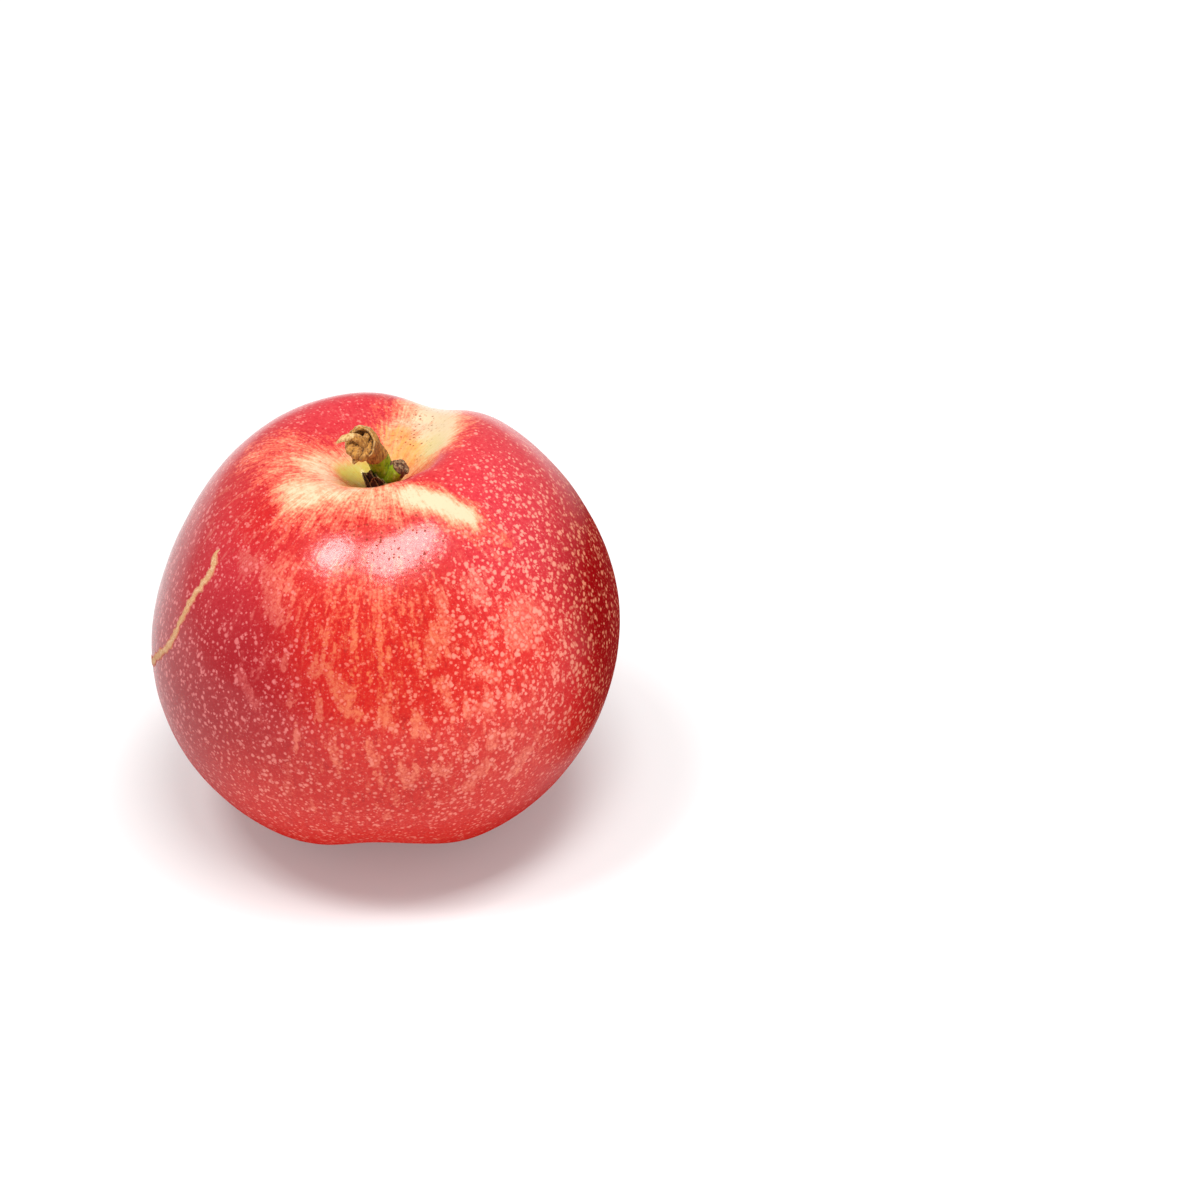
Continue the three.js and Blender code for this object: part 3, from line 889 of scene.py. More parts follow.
MARKS: dict[Mask, tuple[Union[Zone, Stroke], ...]] = {
    Mask.VIVID: (
        Zone(277, 30, 15, 1.0),
        Zone(262, 38, 14, 0.6),
        Zone(283, 12, 14, 0.45),
        Zone(211, 53, 8, 0.6),
        Zone(90, 12, 22, 0.7),
    ),
    Mask.CRIMSON: (
        Zone(222, 22, 18, 0.9),
        Zone(235, 2, 17, 0.85),
        Zone(196, 14, 24, 0.9),
        Zone(160, 4, 26, 0.8),
        Zone(225, -28, 18, 0.35),
        Zone(318, -28, 16, 0.45),
        Zone(120, 52, 18, 0.5),
    ),
    # Deeper red, partly painted shade down the right side.
    Mask.DEEP_RED_AND_PAINTED_SHADE: (
        Zone(350, 13, 15, 1.0),
        Zone(8, 6, 20, 0.8),
        Zone(343, -10, 13, 0.45),
        Zone(22, 6, 24, 0.8),
        Zone(130, 20, 16, 0.35),
    ),
    Mask.ROSE: (
        Zone(345, 52, 20, 0.9),
        Zone(320, 34, 18, 0.55),
        Zone(322, 10, 13, 0.45),
        Zone(115, 55, 22, 0.7),
        Zone(212, 44, 18, 0.5),
        Zone(25, 45, 16, 0.7),
    ),
    # Brighter coral; the zones below the middle on the front are partly painted light on the underside.
    Mask.CORAL_AND_PAINTED_LIGHT: (
        Zone(312, 26, 12, 0.6),
        Zone(304, 8, 12, 0.5),
        Zone(270, -12, 20, 0.5),
        Zone(300, -10, 18, 0.7),
        Zone(240, -20, 16, 0.62),
        Zone(270, 46, 10, 0.35),
        Zone(240, 45, 9, 0.35),
        Zone(75, -5, 20, 0.5),
    ),
    Mask.GROUND: (
        Stroke(2.1, 0.80, ((-8.6, 0.5, 57.0), (-6.6, -4.7, 57.7), (-9.6, -6.8, 57.8))),
        Stroke(1.8, 0.60, ((-11.2, -7.8, 57.5), (-8.0, -8.6, 57.9), (-3.6, -7.8, 58.2), (0.3, -7.6, 58.6))),
        Stroke(2.0, 0.60, ((-8.2, 1.3, 56.8), (-6.6, 4.0, 56.2), (-4.2, 3.6, 54.7))),
        Stroke(2.6, 0.42, ((-18.4, 4.3, 56.3), (-12.9, 5.4, 57.7))),
        Stroke(2.8, 0.46, ((-14.0, -2.0, 57.6), (-11.0, -7.5, 57.8))),
        Stroke(1.4, 1.15, ((4.6, -9.3, 58.7), (9.4, -10.4, 57.6), (12.4, -11.0, 56.5))),
        Stroke(2.2, 0.30, ((10.0, -12.0, 56.6), (16.4, -12.9, 53.3))),
        Stroke(2.6, 0.42, ((-3.0, -9.0, 58.2), (5.0, -11.0, 57.8))),
        Stroke(3.0, 0.26, ((-12.0, -11.8, 56.2), (-5.6, -12.4, 57.4), (-0.6, -12.2, 57.9))),
        Stroke(2.6, 1.25, ((7.3, 5.4, 57.3), (8.4, 9.6, 57.0), (7.2, 15.0, 56.0), (6.4, 21.0, 53.5))),
        Stroke(2.2, 0.90, ((6.4, 21.0, 53.5), (6.8, 26.0, 48.0))),
        Stroke(3.4, 0.66, ((1.0, 6.4, 55.0), (3.2, 11.0, 56.0), (4.6, 17.0, 55.6))),
        Stroke(3.4, 0.80, ((0.3, 0.2, 52.5),)),
    ),
    Mask.ORANGE: (
        Stroke(1.7, 0.9, ((1.4, 4.5, 54.6), (2.8, 8.0, 56.0), (2.3, 11.0, 56.1))),
        Stroke(1.2, 0.75, ((3.9, 4.0, 55.2), (4.6, 6.4, 56.0))),
        Stroke(1.2, 0.5, ((-0.6, 6.0, 55.2), (-0.4, 10.9, 56.2))),
    ),
    Mask.GREEN: (
        Stroke(2.4, 1.0, ((0.3, 0.2, 52.5),)),
        Stroke(1.7, 0.9, ((-4.8, 1.8, 54.7), (-2.6, 3.6, 54.2))),
        Stroke(2.2, 0.35, ((5.6, 3.0, 56.4), (6.6, 5.0, 57.0))),
        Stroke(3.6, 0.28, ((7.2, 7.0, 57.2), (8.4, 12.0, 56.8))),
    ),
    Mask.BLOTCH: (
        Stroke(0.9, 1.15, ((-14.6, -17.9, 51.1), (-14.3, -20.4, 49.3), (-13.2, -22.8, 47.3))),
        Stroke(0.7, 0.80, ((-17.3, -15.7, 51.1), (-17.9, -14.0, 51.8))),
        Stroke(0.8, 1.05, ((-18.6, -25.1, 39.6), (-17.4, -26.5, 38.3), (-16.4, -27.7, 37.0))),
        Stroke(0.7, 0.90, ((-8.4, -28.3, 42.6), (-7.2, -28.0, 43.2))),
        Stroke(0.65, 1.00, ((-5.5, -29.2, 42.3), (-4.4, -30.9, 39.2))),
        Stroke(0.7, 0.75, ((-4.0, -30.3, 40.9), (-3.8, -31.4, 38.5))),
        Stroke(0.65, 1.20, ((9.0, -22.0, 50.0), (9.3, -23.9, 47.9), (9.4, -25.6, 45.9))),
        Stroke(0.55, 1.20, ((7.6, -25.9, 46.2), (7.6, -27.9, 43.6))),
        Stroke(0.5, 1.10, ((9.1, -28.6, 41.7), (9.8, -30.0, 38.4))),
        Stroke(0.6, 1.20, ((13.5, -26.2, 42.6), (15.9, -26.5, 40.2))),
        Stroke(0.7, 1.20, ((15.2, -28.0, 37.9), (15.3, -28.5, 36.6))),
        Stroke(0.7, 1.10, ((18.7, -26.4, 36.6),)),
        Stroke(0.6, 1.00, ((13.5, -29.3, 37.0),)),
        Stroke(0.65, 1.10, ((15.8, -29.1, 32.7), (15.9, -29.3, 30.9))),
        Stroke(0.7, 1.10, ((18.3, -27.7, 32.1),)),
        Stroke(0.75, 1.25, ((20.2, -26.2, 27.6), (18.4, -26.9, 24.4))),
        Stroke(0.75, 1.25, ((14.6, -29.7, 27.8), (12.3, -30.3, 24.9))),
        Stroke(0.65, 0.90, ((5.4, -31.4, 37.7), (6.6, -32.1, 34.9))),
        Stroke(0.65, 0.85, ((-1.0, -32.8, 34.4), (-0.1, -33.3, 31.0))),
        Stroke(0.65, 0.95, ((3.7, -33.1, 29.9), (4.5, -32.7, 26.5))),
        Stroke(0.8, 1.00, ((8.0, -32.3, 29.6), (9.0, -32.0, 28.5))),
        Stroke(0.6, 0.80, ((1.3, -30.9, 39.9), (1.5, -32.1, 37.1))),
        Stroke(0.6, 0.75, ((-3.3, -30.2, 41.0), (-3.0, -31.6, 37.9))),
        Stroke(1.0, 0.60, ((-5.8, -32.3, 34.0), (-5.6, -32.8, 31.2))),
        Stroke(1.3, 0.75, ((13.2, -18.6, 51.0), (14.0, -20.6, 49.2))),
        Stroke(1.8, 0.80, ((20.0, -18.4, 46.4), (21.0, -19.2, 44.5))),
        Stroke(1.4, 0.80, ((17.5, -21.4, 45.5), (18.8, -22.0, 43.8))),
        Zone(318, 28, 18, 0.42),
        Zone(262, 6, 20, 0.25),
        Zone(300, 0, 20, 0.24),
        Zone(265, 34, 12, 0.25),
        Zone(272, 44, 12, 0.50),
        Zone(228, 46, 16, 0.52),
        Zone(60, 10, 26, 0.4),
        Zone(150, -25, 26, 0.45),
        Zone(100, -10, 20, 0.45),
    ),
    Mask.SPECKS: (
        Stroke(2.6, 1.0, ((3.0, -13.4, 57.2), (5.8, -15.6, 56.0))),
        Stroke(3.6, 0.9, ((-2.0, -17.0, 55.3), (5.0, -17.5, 54.9))),
        Stroke(3.0, 0.9, ((3.6, 7.0, 55.9), (5.0, 12.0, 56.0), (6.0, 16.0, 55.4))),
    ),
    Mask.STREAKS: (
        Zone(268, 24, 22, 1.0),
        Zone(262, 0, 24, 0.5),
        Zone(300, 20, 24, 0.7),
        Zone(205, 48, 18, 0.7),
        Zone(60, 20, 40, 0.8),
        Zone(140, -10, 40, 0.8),
    ),
    Mask.DOTS: (
        Zone(320, 30, 24, 0.95),
        Zone(340, 20, 18, 0.7),
        Zone(305, 5, 26, 0.7),
        Zone(345, 48, 18, 0.5),
        Zone(212, 22, 28, 0.42),
        Zone(235, -5, 30, 0.34),
        Zone(270, -15, 30, 0.42),
        Zone(30, 15, 40, 0.6),
        Zone(110, 5, 34, 0.7),
        Zone(165, 20, 34, 0.6),
        Zone(180, -30, 50, 0.5),
        Zone(40, -30, 40, 0.6),
    ),
    Mask.RUBBED: (Zone(334, -1, 15, 1.0), Zone(323, -12, 13, 0.35)),
}


@dataclass
class Scar:
    """A healed rub mark down the left side: a low, ragged ridge of cork. Sizes in mm."""

    line: tuple[Point, ...] = (
        (-21.9, -10.6, 50.6),
        (-22.4, -10.8, 49.9),
        (-23.0, -12.6, 48.2),
        (-25.3, -13.1, 44.8),
        (-27.3, -13.9, 41.1),
        (-29.4, -13.8, 36.6),
        (-31.4, -10.9, 32.8),
        (-32.5, -7.9, 29.6),
        (-33.0, -5.0, 28.0),
        (-33.2, -2.6, 27.4),
    )
    half_width: float = 0.8
    end_width: float = 0.25  # as a share of the width in the middle
    waver: float = 0.28
    waver_size: float = 1.5
    rise: float = 0.13
    end_rise: float = 0.2  # as a share of the rise in the middle
    bumps: tuple[float, float, float] = (0.6, 0.7, 2.6)  # mean, spread, and how many a mm
    tuck: float = 0.04
    sunk: float = 0.12
    steps: int = 150
    across: int = 9
    # How ragged the edge is: how much, how often along it, what tells the sides apart, and a shift.
    frays: tuple[tuple[float, float, float, float], ...] = ((0.55, 46, 3.0, 0.5), (0.3, 120, 5.0, 2.5))

    def _ragged(self, along: float, side: float) -> float:
        """Factor on the scar's width at a share of its length, on one side of it."""
        factor = 1.0
        for amount, number, apart, shift in self.frays:
            factor += amount * noise.noise(Vector((along * number, apart * np.sign(side), shift)))
        return factor

    def ribbon(self, tree: BVHTree) -> tuple[Floats, Faces, Floats]:
        """Lays the scar on the skin.

        Args:
            tree: The skin's surface in mm.

        Returns:
            Vertices in mm, faces, and how near each vertex is to the scar's edge, from 0 to 1.
        """
        centre = smooth_line(self.line, self.steps)
        ahead = np.gradient(centre, axis=0)
        along = np.linspace(0, 1, self.steps)
        taper = smoothstep(along, 0, 0.06) * (1 - smoothstep(along, 0.9, 1.0))
        waver = self.waver * rough(centre, self.waver_size, 3)
        width = self.half_width * (self.end_width + (1 - self.end_width) * taper)
        full = self.end_rise + (1 - self.end_rise) * taper
        mean, spread, number = self.bumps
        points, edge = [], []
        for i in range(self.steps):
            place, normal, _, _ = tree.find_nearest(Vector(centre[i]))
            side = Vector(ahead[i]).cross(normal).normalized()
            for u in np.linspace(-1, 1, self.across):
                reach = width[i] * self._ragged(along[i], u)
                spot = place + side * float(u * reach + waver[i] * taper[i])
                on_skin, up, _, _ = tree.find_nearest(spot)
                bumps = mean + spread * noise.noise(Vector(on_skin) * number)
                height = (1 - u * u) ** 0.5 * self.rise * bumps * full[i]
                points.append(on_skin + up * float(height - self.tuck * (abs(u) > 0.99)))
                edge.append(abs(u))
        under = []
        for point in points:
            on_skin, up, _, _ = tree.find_nearest(point)
            under.append(on_skin - up * self.sunk)
        vertices = np.array([list(p) for p in points + under])
        return vertices, shell_faces(self.steps, self.across), np.array(edge + edge)


class Stretch(IntEnum):
    """The four curves of the fruit's meridian, from the cavity's floor to the tip."""

    CAVITY = 0
    SHOULDER = 1
    FLANK = 2
    TIP = 3


@dataclass(frozen=True)
class Handles:
    """How long the meridian keeps its direction at each knot, in mm."""

    floor_out: float = 3.2
    rim_in: float = 0.6  # as a share of the rim's own radius
    rim_out: float = 8.7
    widest_up: float = 13.5
    widest_down: float = 15.8
    base_out: float = 11.8
    base_in: float = 4.5
    tip_out: float = 3.0


@dataclass(frozen=True)
class Suture:
    """The seam groove from the cavity over the shoulder and faintly down to the tip. Sizes in mm."""

    azimuth: float = 73.0
    depth: float = 3.0
    right_width: float = 4.3
    left_width: float = 5.2
    right_spread: float = 1.0
    left_spread: float = 0.6
    low_width: float = 2.4
    low_share: float = 0.22
    tip_share: float = 0.3
    fades_over: tuple[float, float] = (55.0, 115.0)


@dataclass(frozen=True)
class Crease:
    """The short crease that splits the front of the base. Sizes in mm."""

    azimuth: float = 268.0
    depth: float = 2.6
    width: float = 6.0
    fades_over: tuple[float, float] = (40.0, 90.0)


@dataclass
class Fruit:
    """The nectarine's body: a turned meridian, pushed in and out by swellings, groove and crease. In mm."""

    axis: Point = (0.3, 0.0, 0.0)
    radius: float = 33.5
    widest_z: float = 31.0
    rim_z: float = 59.7
    rim_rise: float = 0.7
    rim_high_at: float = 5.0
    rim_radius: float = 12.2
    rim_shift: float = 4.2
    rim_shift_at: float = 292.0
    floor_z: float = 52.8
    base_radius: float = 9.5
    dimple: float = 2.2
    settle: float = 0.8
    handles: Handles = Handles()
    suture: Suture = Suture()
    crease: Crease = Crease()
    swell_spread: float = 28.0
    swells: tuple[tuple[float, float, float], ...] = (
        (0, 0, -0.6),
        (26, 32, 0.5),
        (73, 54, -0.8),
        (168, 16, -1.1),
        (192, -16, 1.2),
        (225, -45, -0.3),
        (287, -54, -1.0),
        (334, -32, -0.4),
    )
    undulation: tuple[tuple[float, float], ...] = ((0.07, 6.5), (0.022, 2.6))
    undulates_from: tuple[float, float] = (0.5, 4.0)
    pucker: float = 0.12
    pucker_folds: int = 9
    pucker_sway: float = 40.0
    pucker_rises: tuple[float, float] = (0.8, 2.5)
    pucker_fades: tuple[float, float] = (3.5, 8.0)
    rings: tuple[int, ...] = (60, 80, 90, 50)
    around: int = 320
    scar: Scar = field(default_factory=Scar)

    @property
    def middle(self) -> Floats:
        """The point that directions on the fruit are taken from."""
        return np.array([self.axis[0], self.axis[1], self.rim_z / 2])

    def _rim_radius(self, azimuth: Floats) -> Floats:
        """Radius of the cavity's rim at each azimuth."""
        return self.rim_radius - self.rim_shift * np.cos(np.radians(azimuth - self.rim_shift_at))

    def _meridians(self, azimuth: Floats) -> tuple[Floats, Floats, Floats]:
        """The meridian at each azimuth.

        Args:
            azimuth: Azimuths in degrees.

        Returns:
            Radius and height of each station, its unit tangent, and the stretch that it belongs to.
        """
        rim_r = self._rim_radius(azimuth)
        rim_z = self.rim_z + self.rim_rise * np.cos(np.radians(azimuth - self.rim_high_at))
        h = self.handles
        curves = (
            ((0, self.floor_z), (h.floor_out, 0), (-h.rim_in * rim_r, 0), (rim_r, rim_z)),
            ((rim_r, rim_z), (h.rim_out, 0), (0, h.widest_up), (self.radius, self.widest_z)),
            ((self.radius, self.widest_z), (0, -h.widest_down), (h.base_out, 0), (self.base_radius, 0)),
            ((self.base_radius, 0), (-h.base_in, 0), (h.tip_out, 0), (0, self.dimple)),
        )
        places, tangents, stretches = [], [], []
        for stretch, curve in zip(Stretch, curves):
            a, leave, arrive, d = (
                np.stack([r + 0.0 * azimuth, z + 0.0 * azimuth], -1) for r, z in curve
            )
            b, c = a + leave, d + arrive
            last = stretch is Stretch.TIP
            t = np.linspace(0, 1, self.rings[stretch] + last, endpoint=last)[:, None, None]
            u = 1 - t
            places.append(u**3 * a + 3 * u * u * t * b + 3 * u * t * t * c + t**3 * d)
            speed = 3 * (u * u * (b - a) + 2 * u * t * (c - b) + t * t * (d - c))
            tangents.append(speed / np.maximum(np.linalg.norm(speed, axis=-1, keepdims=True), 1e-9))
            stretches.append(np.full(len(t), int(stretch)))
        return np.concatenate(places), np.concatenate(tangents), np.concatenate(stretches)

    def _suture_depth(self, stretch: Floats, radius: Floats, azimuth: Floats) -> Floats:
        """Depth of the suture groove.

        Args:
            stretch: The stretch of the meridian at each place.
            radius: Distance from the axis.
            azimuth: Azimuth in degrees.

        Returns:
            The depth at each place.
        """
        cut = self.suture
        turn = turn_between(azimuth, cut.azimuth)
        arc = np.radians(turn) * np.maximum(radius, 0.1)
        over = smoothstep(radius, self.rim_radius, 0.98 * self.radius)
        near = np.where(turn < 0, cut.right_width, cut.left_width)
        spread = np.where(turn < 0, cut.right_spread, cut.left_spread)
        width = near + (cut.low_width - near) * over + 4 * spread * over * (1 - over)
        low = cut.low_share + cut.tip_share * (1 - smoothstep(radius, 1.6 * self.base_radius, self.radius))
        low = low * smoothstep(radius, 0.2 * self.base_radius, self.base_radius)
        inside = smoothstep(radius / self._rim_radius(azimuth), 0.25, 1.0)
        share = np.where(stretch == Stretch.CAVITY, inside, 1 - (1 - cut.low_share) * over)
        share = np.where(stretch >= Stretch.FLANK, low, share)
        width = np.where(stretch >= Stretch.FLANK, cut.low_width, width)
        side = 1 - smoothstep(np.abs(turn), *cut.fades_over)
        return cut.depth * share * bell(arc, width) * side

    def _crease_depth(self, stretch: Floats, radius: Floats, azimuth: Floats) -> Floats:
        """Depth of the crease in the front of the base.

        Args:
            stretch: The stretch of the meridian at each place.
            radius: Distance from the axis.
            azimuth: Azimuth in degrees.

        Returns:
            The depth at each place.
        """
        cut = self.crease
        turn = turn_between(azimuth, cut.azimuth)
        arc = np.radians(turn) * np.maximum(radius, 0.1)
        low = 1 - smoothstep(radius, 1.9 * self.base_radius, self.radius)
        off_tip = smoothstep(radius, 0.1 * self.base_radius, self.base_radius)
        side = 1 - smoothstep(np.abs(turn), *cut.fades_over)
        depth = cut.depth * low * off_tip * bell(arc, cut.width) * side
        return np.where(stretch >= Stretch.FLANK, depth, 0.0)

    def _puckers(self, stretch: Floats, radius: Floats, azimuth: Floats) -> Floats:
        """Height of the folds that run out from the stalk's foot over the floor of the cavity.

        Args:
            stretch: The stretch of the meridian at each place.
            radius: Distance from the axis.
            azimuth: Azimuth in degrees.

        Returns:
            The height at each place.
        """
        sway = self.pucker_sway * np.sin(np.radians(2 * azimuth + 30))
        folds = np.cos(np.radians(self.pucker_folds * azimuth + sway))
        near = smoothstep(radius, *self.pucker_rises) * (1 - smoothstep(radius, *self.pucker_fades))
        return self.pucker * folds * near * (stretch == Stretch.CAVITY)

    def surface(self) -> tuple[Floats, Floats]:
        """The skin as a grid.

        Returns:
            Places in mm, ring by ring from the cavity's floor to the tip, and the grain of the skin at each:
            position round the fruit and arc length from the cavity's floor.
        """
        azimuth = np.arange(self.around) * 360.0 / self.around
        flat, tangent, stretch = self._meridians(azimuth)
        stretch = stretch[:, None] * np.ones_like(azimuth)
        radius, height = flat[..., 0], flat[..., 1]
        out_dir = np.stack([np.cos(np.radians(azimuth)), np.sin(np.radians(azimuth))], -1)
        places = np.concatenate([radius[..., None] * out_dir, height[..., None]], -1)
        out = np.zeros_like(radius)
        for az, el, rise in self.swells:
            out += rise * bell(angle_from(places, (0, 0, self.rim_z / 2), az, el), self.swell_spread)
        out -= self._suture_depth(stretch, radius, azimuth) + self._crease_depth(stretch, radius, azimuth)
        rows, off_axis = places.reshape(-1, 3), smoothstep(radius, *self.undulates_from)
        for seed, (rise, size) in enumerate(self.undulation, start=1):
            out += rise * rough(rows, size, seed).reshape(radius.shape) * off_axis
        out += self._puckers(stretch, radius, azimuth)
        places[..., :2] += (-tangent[..., 1] * out)[..., None] * out_dir
        places[..., 2] = np.maximum(places[..., 2] + tangent[..., 0] * out - self.settle, 0)
        places += np.asarray(self.axis)
        steps = np.linalg.norm(np.diff(places, axis=0), axis=-1)
        run = np.concatenate([np.zeros((1, self.around)), np.cumsum(steps, 0)])
        round_it = np.broadcast_to(self.radius * out_dir, places[..., :2].shape)
        return places, np.concatenate([round_it, run[..., None]], -1)

    def _closed(self) -> tuple[Floats, Floats, Faces]:
        """The skin as a closed mesh: vertices in mm, the grain at each, and faces."""
        places, grain = self.surface()
        points, flow = (
            np.vstack([grid[0].mean(0), grid[1:-1].reshape(-1, 3), grid[-1].mean(0)])
            for grid in (places, grain)
        )
        faces = grid_faces(len(places) - 2, self.around, first=1, flip=True)
        last = len(points) - 1
        base = last - self.around
        for j in range(self.around):
            k = (j + 1) % self.around
            faces += [(0, 1 + j, 1 + k), (last, base + k, base + j)]
        return points, flow, faces

    def _paint(self, mesh: bpy.types.Mesh, points: Floats) -> None:
        """Stores the regions of the skin on the mesh.

        Args:
            mesh: The fruit's mesh, with the skin's vertices first and then the scar's.
            points: The skin's vertices in mm.
        """
        filler = np.zeros(len(mesh.vertices) - len(points))
        for mask, marks in MARKS.items():
            clear = np.ones(len(points))
            for mark in marks:
                clear *= 1 - np.clip(mark.cover(points, self.middle), 0, None)
            set_attribute(mesh, mask.value, np.concatenate([np.clip(1 - clear, 0, 1.3), filler]))

    def build(self) -> bpy.types.Object:
        """Makes the fruit with its scar, its skin and the skin's regions."""
        points, flow, faces = self._closed()
        tree = BVHTree.FromPolygons(points.tolist(), faces)
        scar_points, scar_faces, scar_edge = self.scar.ribbon(tree)
        all_points = np.vstack([points, scar_points])
        all_faces = faces + [tuple(i + len(points) for i in face) for face in scar_faces]
        made = make_object("nectarine_body", all_points, all_faces, [Skin().build(), Cork().build()])
        slots = np.concatenate([np.zeros(len(faces), np.int32), np.ones(len(scar_faces), np.int32)])
        made.data.polygons.foreach_set("material_index", slots)
        self._paint(made.data, points)
        set_attribute(made.data, GRAIN, np.vstack([flow, np.zeros((len(scar_points), 3))]))
        set_attribute(made.data, EDGE, np.concatenate([np.zeros(len(points)), scar_edge]))
        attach(made, "root")
        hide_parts("fruit")
        log.info("fruit: %d vertices, %d faces", len(all_points), len(all_faces))
        return made


# ---------------------------------------------------------------- the stem


@dataclass(frozen=True)
class Limb:
    """A round limb of the stem along a smooth line, in mm, with the radius at each knot.

    A limb that has a hollow ends in a cup of about that depth, and ragged is the unevenness of its lip.
    The cup's rows give its width as a share of the lip's and its depth as a share of the hollow.
    """

    points: tuple[Point, ...]
    radii: tuple[float, ...]
    tissue: Optional[Tissue] = None
    hollow: float = 0.0
    ragged: float = 0.0
    ribs: float = 0.05
    flat: float = 1.0
    seed: float = 1.0
    sides: int = 40
    step: float = 0.12
    cup: tuple[tuple[float, float], ...] = ((0.88, 0.1), (0.78, 0.55), (0.5, 0.95), (0.2, 0.9))

    def _frames(self) -> tuple[Floats, Floats, Floats, Floats, Floats]:
        """Places the limb's rings, with as little twist between them as can be.

        Returns:
            Centre, radius, tangent and two normals of each ring.
        """
        knots = np.column_stack([self.points, self.radii])
        length = np.linalg.norm(np.diff(np.asarray(self.points), axis=0), axis=1).sum()
        line = smooth_line(knots, max(int(length / self.step), 6))
        centre, radius = line[:, :3], line[:, 3]
        tangent = np.gradient(centre, axis=0)
        tangent /= np.linalg.norm(tangent, axis=1, keepdims=True)
        normal = np.cross(tangent[0], [0.3, -1.0, 0.2])
        normals = []
        for t in tangent:
            normal = normal - t * (normal @ t)
            normal /= np.linalg.norm(normal)
            normals.append(normal)
        return centre, radius, tangent, np.array(normals), np.cross(tangent, normals)

    def mesh(self) -> tuple[Floats, Faces]:
        """A closed tube for the limb: vertices in mm and faces."""
        centre, radius, tangent, normals, others = self._frames()
        angle = np.linspace(0, 2 * math.pi, self.sides, endpoint=False)
        around = np.column_stack([np.cos(angle), np.sin(angle), np.full(self.sides, self.seed)])
        rib = rough(around * 2.2, 1.0, self.seed)
        points = []
        for i in range(len(centre)):
            lump = rough(around * 1.1 + [0, 0, i * self.step * 0.8], 1.0, self.seed + 2)
            size = radius[i] * (1 + 0.06 * lump) + self.ribs * rib
            ring = centre[i] + np.outer(size * np.cos(angle), normals[i])
            points.append(ring + np.outer(size * self.flat * np.sin(angle), others[i]))
        if self.hollow:
            # The limb ends in a ragged cup: its wall turns over and runs down inside.
            teeth = self.ragged * rough(around * 1.9, 1.0, self.seed + 5)
            lip = points[-1] = points[-1] + np.outer(teeth, tangent[-1])
            for share, depth in self.cup:
                points.append(centre[-1] + share * (lip - centre[-1]) - depth * self.hollow * tangent[-1])
        count = len(points)
        bulge = 0.0 if self.hollow else 0.3 * radius[-1]
        first_cap = centre[0] - 0.3 * radius[0] * tangent[0]
        last_cap = points[-1].mean(0) + bulge * tangent[-1]
        faces = grid_faces(count, self.sides)
        first, end = count * self.sides, (count - 1) * self.sides
        for j in range(self.sides):
            k = (j + 1) % self.sides
            faces += [(first, k, j), (first + 1, end + j, end + k)]
        return np.vstack([*points, first_cap, last_cap]), faces


def splinters(first_seed: int, shapes: Sequence[tuple[object, ...]]) -> tuple[Limb, ...]:
    """Small limbs of stem tissue, each with a seed of its own.

    Args:
        first_seed: Seed of the first one.
        shapes: Points, radii and tissue of each.

    Returns:
        The limbs.
    """
    return tuple(Limb(*shape, seed=seed) for seed, shape in enumerate(shapes, start=first_seed))


